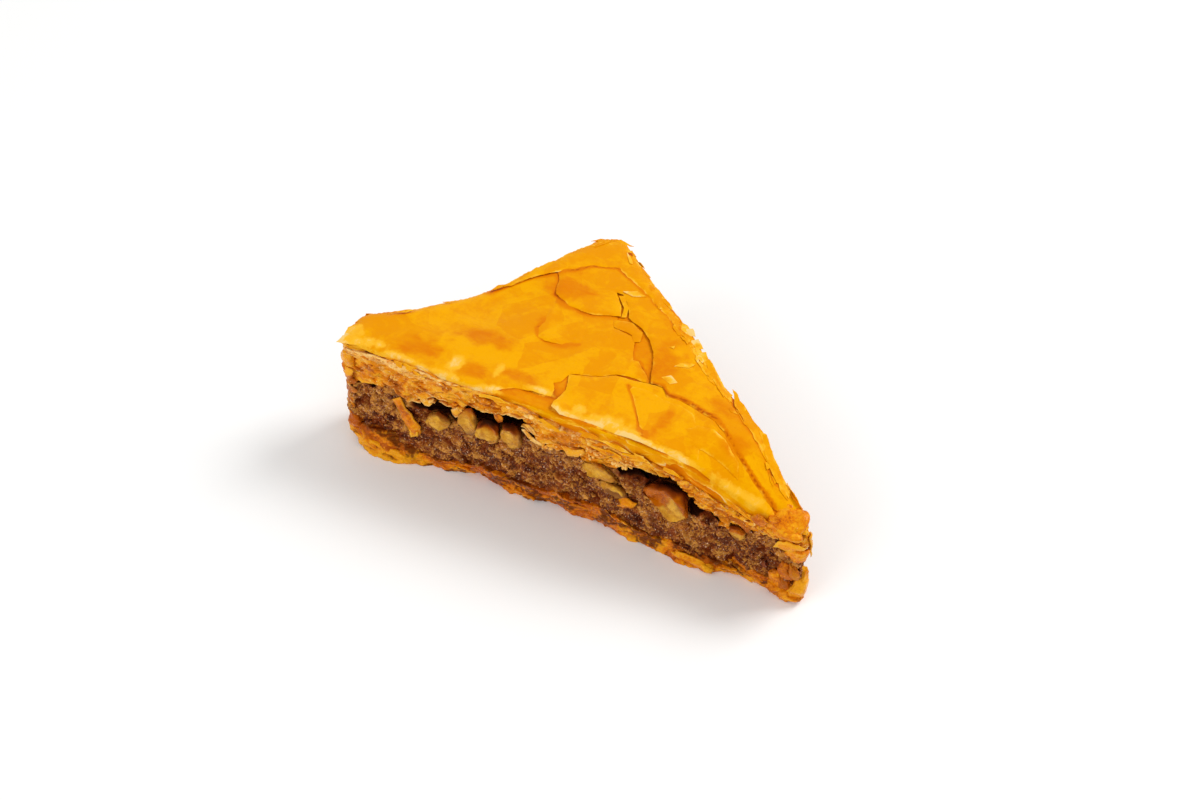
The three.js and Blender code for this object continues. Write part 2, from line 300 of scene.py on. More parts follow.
class Rim:
    """The cut outline in even steps: its points, the way each looks, and its place on the way round."""

    def __init__(self):
        dense = cut_outline()
        dense = np.vstack([dense, dense[:1]])
        length = np.concatenate([[0], np.cumsum(np.linalg.norm(np.diff(dense, axis=0), axis=1))])
        self.count = int(length[-1] / RIM_STEP)
        at = np.arange(self.count) * length[-1] / self.count
        self.xy = np.column_stack([np.interp(at, length, dense[:, k]) for k in (0, 1)])
        tangent = np.roll(self.xy, -2, axis=0) - np.roll(self.xy, 2, axis=0)
        tangent /= np.linalg.norm(tangent, axis=1, keepdims=True)
        self.out = np.column_stack([tangent[:, 1], -tangent[:, 0]])
        self.x, self.w = self.xy[:, 0], self.xy[:, 1] - FRONT
        self.at, self.length = at, length[-1]
        self.front_length = at[np.argmax(self.xy[:, 0])]
        self.reach = np.linalg.norm(self.xy - CENTRE, axis=1)
        on_front = np.abs(self.xy[:, 1] - FRONT) < 0.01
        self.middle = np.interp(0, self.xy[on_front, 0], at[on_front])

    def line(self, front, back):
        """Heights all round from the two lists of one height line."""
        behind = (self.at - self.front_length) / (self.length - self.front_length)
        along = np.interp(self.xy[:, 0], *np.array(front).T)
        around = np.interp(behind, *np.array(back).T)
        return np.where(self.at <= self.front_length, along, around)

    def rough(self, size, octaves, seed):
        """Noise at the outline's points."""
        return rough(places_at(*self.xy.T), size, octaves, seed)

    def anywhere(self, rng):
        """A random way round, and the index of the outline's nearest point."""
        at = rng.uniform(0, self.length)
        return at, self.index(at)

    def index(self, at):
        return np.round(np.asarray(at) / self.length * self.count).astype(int) % self.count

    def place(self, at, z, proud):
        """Points at a way round, a height and a distance out from the cut."""
        turns = np.asarray(at) % self.length / self.length * self.count
        low = np.floor(turns).astype(int)
        share = (turns - low)[..., None]
        xy = blend(self.xy[low % self.count], self.xy[(low + 1) % self.count], share)
        out = blend(self.out[low % self.count], self.out[(low + 1) % self.count], share)
        out = out / np.linalg.norm(out, axis=-1, keepdims=True)
        flat = xy + out * np.asarray(proud)[..., None]
        return np.concatenate([flat, np.asarray(z, float)[..., None]], -1), out


RIM = Rim()


def crest(x, w):
    """The top of the leaves: it sags towards the right tip and dips along the left cut."""
    x, w = np.asarray(x, float), np.asarray(w, float)
    inwards = np.clip(w / (SAG["reach"] + SAG["tip_reach"] * smooth(x, SAG["tip_from"], SAG["to"])), 0, 1)
    sag = SAG["depth"] * smooth(x, SAG["from"], SAG["to"]) * (1 - inwards) ** 1.5
    apart = np.hypot(x - LEFT_DIP["x"], w - LEFT_DIP["w"])
    dip = LEFT_DIP["depth"] * (1 - smooth(apart, 0, LEFT_DIP["radius"]))
    places = np.stack([x, w, np.zeros_like(x)], -1)
    return CREST - sag - dip + 0.22 * waves(places, 11, 5) + 0.08 * waves(places, 4, 6)


# ---------- meshes and nodes


def add_to_scene(name, data):
    """Links a new object to the scene."""
    thing = bpy.data.objects.new(name, data)
    bpy.context.scene.collection.objects.link(thing)
    return thing


def make_piece(name, points, faces, marks, material, slot, replaces=(), sharp=None):
    """Adds a mesh piece in millimetres that rides on the body, with its marks as point attributes."""
    mesh = bpy.data.meshes.new(name)
    points = np.clip(points, LOW + 0.01, HIGH - 0.01)
    mesh.from_pydata((points * MM).tolist(), [], [list(map(int, f)) for f in faces])
    mesh.update()
    for mark, values in marks.items():
        layer = mesh.attributes.new(mark, "FLOAT", "POINT")
        layer.data.foreach_set("value", np.asarray(values, np.float32).ravel())
    mesh.shade_smooth()
    if sharp:
        mesh.set_sharp_from_angle(angle=math.radians(sharp))
    mesh.materials.append(material)
    piece = add_to_scene(name, mesh)
    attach(piece, BODY)
    if replaces:
        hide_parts(*replaces)
    return piece


def closed_rings(rings):
    """Points and faces of a closed skin through rings (r, n, 3), with a fan over each end."""
    r, n, _ = rings.shape
    grid = np.arange(r * n).reshape(r, n)
    ahead = np.roll(grid, -1, axis=1)
    quads = np.stack([grid[:-1], ahead[:-1], ahead[1:], grid[1:]], -1).reshape(-1, 4)
    points = np.vstack([rings.reshape(-1, 3), rings[0].mean(0), rings[-1].mean(0)])
    low = [(r * n, b, a) for a, b in zip(grid[0], ahead[0])]
    high = [(r * n + 1, a, b) for a, b in zip(grid[-1], ahead[-1])]
    return points, [*quads.tolist(), *low, *high]


# How far the rings under and over a layer stand in, from its rim to the centre.
INNER_SHARES = (0.012, 0.035, 0.08, 0.16, 0.3, 0.5, 0.75)


def inner_rings(edge, line, middle):
    """Rings from a side's edge (n, 2) in towards the centre, falling from the rim's line to the middle."""
    rings = []
    for share in INNER_SHARES:
        xy = blend(edge, CENTRE, share)
        inwards = smooth(share * RIM.reach, 0, INSIDE_REACH)
        z = blend(line, middle(xy[:, 0], xy[:, 1] - FRONT), inwards)
        rings.append(np.column_stack([xy, z]))
    return rings


def layer_rings(side, low, high, low_middle, high_middle):
    """All rings of a layer: under it from the centre, up its side (r, n, 3), and back over it."""
    under = inner_rings(side[0][:, :2], low, low_middle)[::-1]
    over = inner_rings(side[-1][:, :2], high, high_middle)
    return np.array([*under, *side, *over])


def closed_layer(rings, marks):
    """Points, faces and marks of a layer; its inner rings repeat the marks of the side's nearest row."""
    points, faces = closed_rings(rings)
    spread = {}
    for name, values in marks.items():
        extra = (len(rings) - len(values)) // 2
        padded = np.vstack([np.repeat(values[:1], extra, 0), values, np.repeat(values[-1:], extra, 0)])
        spread[name] = np.concatenate([padded.ravel(), [padded[0].mean(), padded[-1].mean()]])
    return points, faces, spread


def side_rows(low, high, rows, face):
    """Rows up the side of a layer between two lines, with their marks. At a row's points and its height of
    0 to 1, face gives how proud they stand and their marks."""
    side, marks = [], []
    for height in np.linspace(0, 1, rows):
        flat = np.column_stack([RIM.xy, blend(low, high, height)])
        proud, row_marks = face(flat, height)
        side.append(np.column_stack([RIM.xy + RIM.out * proud[:, None], flat[:, 2]]))
        marks.append(row_marks)
    return np.array(side), {name: np.array([row[name] for row in marks]) for name in marks[0]}


class Finish:
    """A node material, with short calls for the nodes that these finishes use."""

    def __init__(self, name):
        self.material = bpy.data.materials.new(name)
        self.material.use_nodes = True
        self.tree = self.material.node_tree
        self.tree.nodes.clear()
        self.shader = self.node("BsdfPrincipled")
        self.node("OutputMaterial", {0: self.shader.outputs[0]})
        self.place = self.node("TexCoord").outputs["Object"]

    def node(self, kind, inputs=None, **settings):
        """A new node with its settings and what goes into its inputs."""
        node = self.tree.nodes.new("ShaderNode" + kind)
        for name, value in settings.items():
            setattr(node, name, value)
        for name, value in (inputs or {}).items():
            self.put(node.inputs[name], value)
        return node

    def put(self, socket, value):
        """Links a node's output to a socket, or sets its value."""
        if isinstance(value, bpy.types.NodeSocket):
            self.tree.links.new(value, socket)
        elif socket.type == "RGBA":
            socket.default_value = (*linear(value), 1.0)
        else:
            socket.default_value = value

    def set(self, **values):
        """Sets the shader's own sockets, with spaces in their names as underscores."""
        for name, value in values.items():
            self.put(self.shader.inputs[name.replace("_", " ")], value)

    def mark(self, name):
        """A mark of the mesh."""
        return self.node("Attribute", attribute_name=name).outputs["Fac"]

    def stretched(self, x, y, z):
        """The place, scaled along each axis."""
        return self.node("Mapping", {"Vector": self.place, "Scale": (x, y, z)}).outputs[0]

    def noise(self, size, detail=3.0, roughness=0.5, at=None, warp=0.0):
        """Noise with swells of about size millimetres."""
        inputs = {"Vector": at or self.place, "Scale": 1 / (size * MM), "Detail": detail,
                  "Roughness": roughness, "Distortion": warp}
        return self.node("TexNoise", inputs).outputs["Fac"]

    def warped(self, size, amount, scale=(1, 1, 1)):
        """The place, pushed about by amount millimetres of noise and then scaled."""
        noise = self.node("TexNoise", {"Vector": self.place, "Scale": 1 / (size * MM)})
        inputs = {0: noise.outputs["Color"], 1: (amount * MM,) * 3, 2: self.place}
        push = self.node("VectorMath", inputs, operation="MULTIPLY_ADD")
        return self.node("VectorMath", {0: push.outputs[0], 1: scale}, operation="MULTIPLY").outputs[0]

    def cells(self, size, at):
        """A value of 0 to 1 for each cell about size millimetres across."""
        return self.node("TexVoronoi", {"Vector": at, "Scale": 1 / (size * MM)}).outputs["Color"]

    def range(self, value, low, high, to_low=0.0, to_high=1.0):
        """A value between low and high, spread evenly over to_low and to_high."""
        inputs = {"Value": value, "From Min": low, "From Max": high, "To Min": to_low, "To Max": to_high}
        return self.node("MapRange", inputs, interpolation_type="SMOOTHSTEP").outputs[0]

    def add(self, a, b):
        return self.node("Math", {0: a, 1: b}, operation="ADD").outputs[0]

    def multiply(self, a, b):
        return self.node("Math", {0: a, 1: b}, operation="MULTIPLY").outputs[0]

    def mix(self, share, a, b):
        """From colour a at share 0 to colour b at share 1."""
        node = self.node("Mix", data_type="RGBA")
        for socket, value in ((0, share), (6, a), (7, b)):
            self.put(node.inputs[socket], value)
        return node.outputs[2]

    def tint(self, colour, other, value, low, high, most=1.0):
        """A colour that turns into another as a value rises from low to high."""
        return self.mix(self.range(value, low, high, 0.0, most), colour, other)

    def bump(self, height, depth, strength=1.0, under=None):
        """Relief of depth millimetres from a height of 0 to 1."""
        inputs = {"Height": height, "Distance": depth * MM, "Strength": strength}
        if under:
            inputs["Normal"] = under
        return self.node("Bump", inputs).outputs[0]


# ---------- finishes


def crisp_finish(c):
    """Baked leaf: satin gold, browner where it is stuck down, cream where it has lifted, with a painted
    shadow beside the edges of the leaves above, and rims made pale partly by a painted highlight.
    """
    f = Finish("crisp leaf")
    flat = f.warped(5.0, 2.4, (1, 1, 0))
    sheets = f.add(f.cells(9.0, flat), f.range(f.cells(4.2, flat), 0, 1, -0.3, 0.3))
    shade = f.add(f.range(sheets, 0, 1, -0.12, 0.12), f.noise(5, 6, 0.66, warp=0.8))
    fibres = f.noise(0.7, 4, 0.65, at=f.warped(3.5, 3.0, (0.4, 1.0, 1.0)))
    shade = f.add(shade, f.range(fibres, 0.3, 0.7, -0.06, 0.06))
    gold = f.mix(f.range(shade, 0.34, 0.66), c.gold, c.bright_gold)
    streaks = f.noise(2.6, 5, 0.68, at=f.stretched(0.45, 1.0, 1.0), warp=0.8)
    toast = f.add(f.mark("toast"), f.range(streaks, 0.5, 0.8, -0.06, 0.34))
    toast = f.add(toast, f.range(fibres, 0.3, 0.7, -0.1, 0.1))
    # Toast and scorch: real browning, and the painted shadow beside the edges of the leaves above.
    gold = f.tint(gold, c.toast, toast, 0.1, 0.8)
    gold = f.tint(gold, c.scorch_and_edge_shadow, toast, 0.9, 1.7)
    gold = f.tint(gold, c.toast, f.noise(0.5, 3, 0.65), 0.6, 0.78, 0.45)
    feathers = f.noise(1.7, 7, 0.72, at=f.warped(3.0, 2.0, (0.9, 0.6, 1.0)))
    pale = f.add(f.mark("pale"), f.range(feathers, 0.3, 0.7, -0.26, 0.22))
    # Butter and cream: lifted leaf, and the pale rims, which are partly a painted highlight.
    colour = f.tint(gold, c.butter, pale, 0.16, 0.6)
    colour = f.tint(colour, c.cream, pale, 0.6, 1.0)
    relief = f.bump(f.noise(2.6, 5, 0.6, warp=0.6), 0.22, 0.55)
    relief = f.bump(sheets, 0.04, 0.5, relief)
    relief = f.bump(f.noise(0.35, 3, 0.6), 0.04, 0.6, relief)
    relief = f.bump(fibres, 0.04, 0.4, relief)
    f.set(Base_Color=colour, Roughness=f.range(f.noise(1.7, 3), 0.3, 0.7, 0.38, 0.56), Normal=relief,
          Specular_IOR_Level=0.16, Specular_Tint=c.gloss, IOR=1.45)
    return f.material


def soaked_finish(c):
    """Leaves drowned in syrup: golden and tan above, red-brown below, wet, with painted glints and shade."""
    f = Finish("soaked leaf")
    swirls = f.noise(2.2, 4, 0.6, at=f.warped(3.0, 3.0, (0.6, 0.6, 1.1)))
    tone = f.add(f.mark("tone"), f.range(swirls, 0.3, 0.7, -0.56, 0.5))
    colour = f.mix(f.range(tone, 0.1, 0.5), c.soaked_red, c.soaked_tan)
    colour = f.tint(colour, c.soaked_light, tone, 0.5, 0.95)
    lines = f.noise(0.9, 3, 0.55, at=f.warped(2.2, 2.6, (0.4, 0.4, 1.0)))
    colour = f.tint(colour, c.soaked_red, lines, 0.54, 0.68, 0.75)
    colour = f.tint(colour, c.soaked_khaki, f.noise(2.6, 4, 0.6, warp=0.5), 0.54, 0.68, 0.4)
    # Painted glints: small cream specks.
    bubbles = f.range(f.noise(0.45, 3, 0.7), 0.59, 0.68, 0.0, 0.8)
    pale = f.multiply(f.mark("pale"), f.range(f.noise(0.8, 3, 0.6), 0.3, 0.6, 0.3, 1.1))
    colour = f.tint(colour, c.soaked_cream_and_glint, f.add(pale, bubbles), 0.05, 1.0)
    # Painted shade in the grooves, dips, slits and hollows, with dark syrup in the grooves.
    colour = f.tint(colour, c.soaked_shade_and_syrup, f.mark("deep"), 0.1, 1.0, 0.95)
    relief = f.bump(f.noise(1.0, 4, 0.6, warp=0.5), 0.26, 0.8)
    relief = f.bump(f.noise(0.4, 3, 0.6), 0.08, 0.7, relief)
    f.set(Base_Color=colour, Roughness=f.range(f.noise(0.9, 2), 0.35, 0.65, 0.28, 0.5), Normal=relief,
          Specular_IOR_Level=f.range(f.mark("deep"), 0.1, 0.7, 0.32, 0.04), Specular_Tint=c.shine, IOR=1.47)
    return f.material


def with_painted_shade(f, colour, c):
    """The colour, painted dark brown and then black where the deep mark says that shade, and in places
    dark syrup, stands over it.
    """
    colour = f.tint(colour, c.hollow, f.mark("deep"), 0.05, 0.6, 0.9)
    return f.tint(colour, c.painted_shade_black, f.mark("deep"), 0.5, 1.0, 0.97)


def filling_finish(c):
    """Ground walnut in dark syrup, with painted glints and painted shade."""
    f = Finish("ground walnut")
    chips = f.noise(1.5, 4, 0.62, at=f.warped(2.5, 1.4, (0.65, 0.65, 1.15)))
    grain = f.add(f.mark("grain"), f.range(chips, 0.3, 0.7, -0.5, 0.5))
    grain = f.add(grain, f.range(f.noise(0.36, 3, 0.72), 0.32, 0.68, -0.5, 0.5))
    colour = f.mix(f.range(grain, 0.05, 0.5), c.ground_dark, c.ground_brown)
    colour = f.tint(colour, c.ground_pale, grain, 0.5, 0.95)
    colour = f.tint(colour, c.ground_rust, f.noise(2.4, 4, 0.6), 0.5, 0.66, 0.5)
    colour = f.tint(colour, c.ground_plum, f.noise(1.9, 4, 0.62, warp=0.5), 0.52, 0.66, 0.6)
    # Painted glints: small pale specks.
    colour = f.tint(colour, c.painted_glint, f.noise(0.32, 2, 0.6), 0.61, 0.69, 0.85)
    relief = f.bump(f.noise(0.9, 4, 0.65, warp=0.4), 0.28, 0.9)
    relief = f.bump(f.noise(0.3, 3, 0.65), 0.12, 0.9, relief)
    f.set(Base_Color=with_painted_shade(f, colour, c), Roughness=f.range(f.noise(0.6, 2), 0.35, 0.65, 0.16, 0.42),
          Normal=relief, Specular_IOR_Level=f.range(f.mark("deep"), 0.1, 0.7, 0.4, 0.05),
          Specular_Tint=c.shine, IOR=1.46)
    return f.material


def nut_finish(c):
    """Walnut: pale flesh where it broke, papery brown skin elsewhere, wet with syrup, and painted shade."""
    f = Finish("walnut")
    flesh = f.mix(f.range(f.noise(1.6, 4, 0.6), 0.32, 0.68), c.flesh_tan, c.flesh_pale)
    low = f.add(f.mark("low"), f.range(f.noise(0.7, 4, 0.65), 0.3, 0.7, -0.2, 0.2))
    flesh = f.mix(low, flesh, c.flesh_low)
    folds = f.noise(1.3, 4, 0.6, at=f.warped(3.0, 2.0, (1.0, 1.0, 0.45)))
    skin = f.mix(f.range(folds, 0.3, 0.6), c.skin_dark, c.skin_light)
    edge = f.add(f.mark("flesh"), f.range(f.noise(0.9, 3), 0.3, 0.7, -0.16, 0.16))
    colour = f.mix(f.range(edge, 0.05, 0.9), skin, flesh)
    relief = f.bump(f.noise(1.1, 4, 0.6, at=f.stretched(0.7, 0.7, 1.3)), 0.22, 0.8)
    relief = f.bump(f.noise(0.4, 3, 0.6), 0.07, 0.8, relief)
    f.set(Base_Color=with_painted_shade(f, colour, c), Roughness=f.range(f.noise(0.8, 2), 0.35, 0.65, 0.18, 0.36),
          Normal=relief, Specular_IOR_Level=f.range(f.mark("deep"), 0.1, 0.7, 0.34, 0.04),
          Specular_Tint=c.gloss, IOR=1.47)
    return f.material


def amber_finish(c):
    """Base leaves and folds full of syrup: amber, glossy, brown where the filling has soaked in, with painted
    shade in its seams and folds.
    """
    f = Finish("amber leaf")
    streaks = f.noise(1.8, 5, 0.62, at=f.warped(3.0, 1.5, (0.75, 0.75, 1.3)))
    tone = f.add(f.mark("tone"), f.range(streaks, 0.3, 0.7, -0.35, 0.35))
    tone = f.add(tone, f.range(f.noise(0.5, 4, 0.7, warp=0.5), 0.3, 0.7, -0.3, 0.3))
    colour = f.mix(f.range(tone, 0.05, 0.5), c.amber_deep, c.amber)
    colour = f.tint(colour, c.amber_light, tone, 0.5, 1.0)
    colour = f.tint(colour, c.amber_deep, f.noise(0.4, 3, 0.7), 0.58, 0.74, 0.45)
    bubbles = f.range(f.noise(0.5, 3, 0.7), 0.62, 0.74, 0.0, 0.4)
    colour = f.mix(f.add(f.mark("pale"), bubbles), colour, c.butter)
    patchy = f.multiply(f.mark("deep"), f.range(f.noise(0.9, 4), 0.3, 0.7, -0.6, 0.6))
    # Dark syrup, and painted shade in the seams and fold hollows.
    colour = f.tint(colour, c.amber_shade_and_syrup, f.add(f.mark("deep"), patchy), 0.1, 1.0, 0.92)
    relief = f.bump(f.noise(1.0, 5, 0.65, warp=0.5), 0.24, 0.8)
    relief = f.bump(f.noise(0.4, 3, 0.6), 0.08, 0.7, relief)
    f.set(Base_Color=colour, Roughness=f.range(f.noise(0.9, 2), 0.35, 0.65, 0.16, 0.36), Normal=relief,
          Specular_IOR_Level=0.5, Specular_Tint=c.gloss, IOR=1.48, Coat_Weight=0.08, Coat_Roughness=0.1)
    return f.material


# ---------- leaves


def ragged(outline, step=0.4, depth=0.22, seed=3):
    """A closed outline with finer points, each moved by noise, so that it runs like a torn edge."""
    points = []
    outline = np.asarray(outline, float)
    for a, b in zip(outline, np.roll(outline, -1, axis=0)):
        pieces = max(1, int(round(np.linalg.norm(b - a) / step)))
        points.extend(blend(a, b, k / pieces) for k in range(pieces))
    points = np.array(points)
    places = places_at(*points.T)
    shift = np.column_stack([rough(places, 2.6, 4, seed + 11 * k, gain=0.62) for k in (1, 2)])
    return points + depth * shift


def leaf_grid(outline, step):
    """Points and triangles of a flat leaf within a closed outline, the outline's own points first."""
    low, high = outline.min(0), outline.max(0)
    rows = np.arange(low[1] + step / 2, high[1], step * 0.866)
    columns = np.arange(low[0] + step / 2, high[0], step)
    grid = np.array([(x + (r % 2) * step / 2, y) for r, y in enumerate(rows) for x in columns]).reshape(-1, 2)
    grid = grid[inside(grid, outline)]
    grid = grid[to_outline(grid, outline) > step * 0.5]
    points = [Vector(p) for p in np.vstack([outline, grid])]
    made = delaunay_2d_cdt(points, [], [list(range(len(outline)))], 1, 1e-6)
    flat = np.array([tuple(v) for v in made[0]])
    triangles = np.array([f for f in made[2] if len(f) == 3])
    a, b, c = (flat[triangles[:, k]] for k in range(3))
    turn = (b[:, 0] - a[:, 0]) * (c[:, 1] - a[:, 1]) - (b[:, 1] - a[:, 1]) * (c[:, 0] - a[:, 0])
    triangles[turn < 0] = triangles[turn < 0][:, ::-1]
    return flat, triangles


def rim_edges(triangles):
    """The open edges of a sheet of triangles, each in its triangle's direction."""
    edges = np.concatenate([triangles[:, [0, 1]], triangles[:, [1, 2]], triangles[:, [2, 0]]])
    keys = dict.fromkeys((a, b) for a, b in edges.tolist())
    return np.array([(a, b) for a, b in keys if (b, a) not in keys])


def thicken(points, triangles, thickness):
    """A closed thin solid from a sheet, half its thickness to either side."""
    a, b, c = (points[triangles[:, k]] for k in range(3))
    across = np.cross(b - a, c - a)
    normal = np.zeros_like(points)
    for k in range(3):
        np.add.at(normal, triangles[:, k], across)
    normal /= np.maximum(np.linalg.norm(normal, axis=1, keepdims=True), 1e-9)
    half = normal * thickness / 2
    count = len(points)
    both = np.vstack([points + half, points - half])
    walls = [(b, a, a + count, b + count) for a, b in rim_edges(triangles).tolist()]
    return both, [*triangles.tolist(), *(triangles[:, ::-1] + count).tolist(), *walls]


def drape(x, w, level):
    """Where a leaf's point lies: on the top at that level, or over the long cut where w is small."""
    over = smooth(x, -42.5, -39.5)
    turn = np.clip((EDGE_ROUND - w) / EDGE_ROUND, 0, STEEPEST)
    beyond = np.maximum(EDGE_ROUND - w - EDGE_ROUND * STEEPEST, 0)
    bent = EDGE_ROUND * (1 - np.sin(turn)) - beyond * math.cos(STEEPEST)
    drop = EDGE_ROUND * (1 - np.cos(turn)) + beyond * math.sin(STEEPEST)
    y = np.where(w < EDGE_ROUND, blend(w, bent, over), w)
    z = crest(x, np.maximum(w, 0)) - drop * over
    turn = turn * over
    normal = np.column_stack([np.zeros_like(x), -np.sin(turn), np.cos(turn)])
    return np.column_stack([x, FRONT + y, z]) + normal * np.asarray(level)[:, None]


class LeafPile:
    """Collects closed shells, with their marks, into one piece."""

    def __init__(self, *marks):
        self.points, self.faces, self.count = [], [], 0
        self.marks = {name: [] for name in marks}

    def add(self, points, faces, **marks):
        """Adds one shell; a mark that it doesn't give is 0."""
        self.points.append(points)
        self.faces.extend([[i + self.count for i in f] for f in faces])
        self.count += len(points)
        for name, values in self.marks.items():
            values.append(np.broadcast_to(np.asarray(marks.get(name, 0.0), float), (len(points),)))

    def piece(self, name, material, slot, **how):
        """Makes the piece from all shells."""
        marks = {mark: np.concatenate(values) for mark, values in self.marks.items()}
        return make_piece(name, np.vstack(self.points), self.faces, marks, material, slot, **how)


def side_leaf(pile, outline, thickness, proud, seed, step=0.45, depth=0.15, bulge=0.0, crease=0.12,
              pale_rim=0.4, tone=0.5, **marks):
    """A leaf that lies on a cut, from an outline of (way along the cut, z) points."""
    outline = ragged(outline, step=0.35, depth=depth, seed=seed)
    flat, triangles = leaf_grid(outline, step)
    if not len(triangles):
        return
    s, z = flat.T
    rim = to_outline(flat, outline)
    places = places_at(s, z, 3.0 * seed)
    out = proud + bulge * smooth(rim, 0, 1.6) + crease * waves(places, 1.5, seed)
    out += 0.4 * crease * waves(places, 0.6, seed + 1)
    points, _ = RIM.place(RIM.middle + s, z, out)
    solid, faces = thicken(points, triangles, thickness)
    pale = pale_rim * np.clip(1 - rim / 0.6, 0, 1) * (0.7 + 0.5 * waves(places, 1.2, seed + 5))
    tones = tone + 0.25 * waves(places, 2.0, seed + 6)
    pile.add(solid, faces, pale=np.tile(pale, 2), tone=np.tile(tones, 2), **marks)


def torn_flake(rng, long, high, slope=0.0):
    """The outline of a small flake about (0, 0), stretched along a line that rises by slope."""
    turns = np.sort(rng.uniform(0, 2 * np.pi, rng.integers(5, 9)))
    reach = rng.uniform(0.7, 1.2, len(turns))
    flat = np.column_stack([long * reach * np.cos(turns), high * reach * np.sin(turns)])
    lean = math.atan(slope) + rng.normal(0, 0.22)
    return flat @ np.array([[math.cos(lean), math.sin(lean)], [-math.sin(lean), math.cos(lean)]])


def smears(pile, rng, count, low, high, toast, pale_rim, bulge):
    """Small flakes smeared over a layer's cut between two lines. The last three are (low, high) pairs."""
    for number in range(count):
        at, column = RIM.anywhere(rng)
        ahead = RIM.index(at + 2.0)
        share = rng.uniform(-0.1, 0.9)
        z = blend(low[column], high[column], share)
        slope = np.clip((blend(low[ahead], high[ahead], share) - z) / 2.0, -0.7, 0.7)
        outline = torn_flake(rng, rng.uniform(1.4, 3.6), rng.uniform(0.35, 0.8), slope)
        side_leaf(pile, outline + (at - RIM.middle, z), 0.1, seed=2000 + number, step=0.4, depth=0.12,
                  crease=0.14, toast=rng.uniform(*toast), pale_rim=rng.uniform(*pale_rim),
                  bulge=rng.uniform(*bulge), proud=rng.uniform(-0.1, 0.25))


STACK_SEED, STACK_ROWS = 100, 46
BASE_SEED, BASE_ROWS = 200, 30


def layer_warp(points, seed):
    """How far the leaves of a stack wave up and down at points (n, 3)."""
    return 1.0 * rough(points * (1, 1, 0.5), 9, 2, seed) + 0.7 * rough(points * (1, 1, 0.8), 3.0, 3, seed + 5)


def fringe(pile, at, z, width, reach, droop, thickness, seed, tone=0.5, pale=0.6):
    """A torn leaf end that stands out of a cut: a wavy ribbon along the rim, in line with the layers."""
    across = max(4, int(width / 0.3))
    u = np.linspace(0, 1, across + 1)
    v = np.array([0.0, 0.45, 0.75, 1.0])[:, None]
    s = at + (u - 0.5) * width
    level = np.full(len(s), z)
    places = places_at(s, level, 1.7 * seed)
    tip = reach * np.sin(np.pi * np.clip(u, 0.06, 0.94)) ** 0.5 * (1 + 1.1 * rough(places, 0.9, 3, seed))
    proud = blend(-0.8, np.maximum(tip, -0.5), v)
    around, _ = RIM.place(s, level, 0.0 * s)
    wave = layer_warp(around, STACK_SEED)
    height = z - wave + wave[len(wave) // 2] - droop * v**2 + 0.12 * waves(places, 0.8, seed + 2) * v
    points, _ = RIM.place(np.broadcast_to(s, proud.shape), height, proud)
    grid = np.arange(points.shape[0] * points.shape[1]).reshape(points.shape[:2])
    quads = np.stack([grid[:-1, :-1], grid[1:, :-1], grid[1:, 1:], grid[:-1, 1:]], -1).reshape(-1, 4)
    triangles = np.concatenate([quads[:, [0, 1, 2]], quads[:, [0, 2, 3]]])
    solid, faces = thicken(points.reshape(-1, 3), triangles, thickness)
    tips = np.tile((pale * np.broadcast_to(v, proud.shape) ** 2).ravel(), 2)
    pile.add(solid, faces, pale=tips, tone=tone)


def ball(divisions):
    """Points and triangles of an evenly divided ball of radius 1."""
    made = bmesh.new()
    bmesh.ops.create_icosphere(made, subdivisions=divisions, radius=1.0)
    points = np.array([v.co for v in made.verts])
    faces = np.array([[v.index for v in f.verts] for f in made.faces])
    made.free()
    return points / np.linalg.norm(points, axis=1, keepdims=True), faces


def lump(pile, at, z, proud, half, seed, lean=0.0, on_top=False, uneven=0.3, pale=0.0, tone=0.5, shape=None,
         **marks):
    """A soft blob of leaf and syrup, bubbly, on a cut or (at as x, z as w) on the top. Its half sizes are
    along the cut, up and out; it leans by so many radians."""
    points, faces = shape or ball(4)
    blob = points * (1 + uneven * rough(points, 0.9, 4, seed, gain=0.6))[:, None]
    near, _, own = crumbs(points, 0.3, seed + 3)
    blob = blob * (1 + 0.14 * np.clip(0.55 - near, 0, 1) * (own > 0.45))[:, None]
    along, up, out = (blob * np.asarray(half)).T
    along, up = along * math.cos(lean) - up * math.sin(lean), along * math.sin(lean) + up * math.cos(lean)
    if on_top:
        x, w = at + along, z - up
        placed = np.column_stack([x, FRONT + w, crest(x, np.maximum(w, 0)) + proud + out])
        faces = faces[:, ::-1]
    else:
        placed, _ = RIM.place(RIM.middle + at + along, z + up, proud + out)
    tones = tone + 0.3 * rough(points, 0.8, 3, seed + 9)
    pales = pale * (0.6 + 0.5 * waves(points, 0.5, seed + 4))
    pile.add(placed, faces.tolist(), tone=tones, pale=pales, **marks)


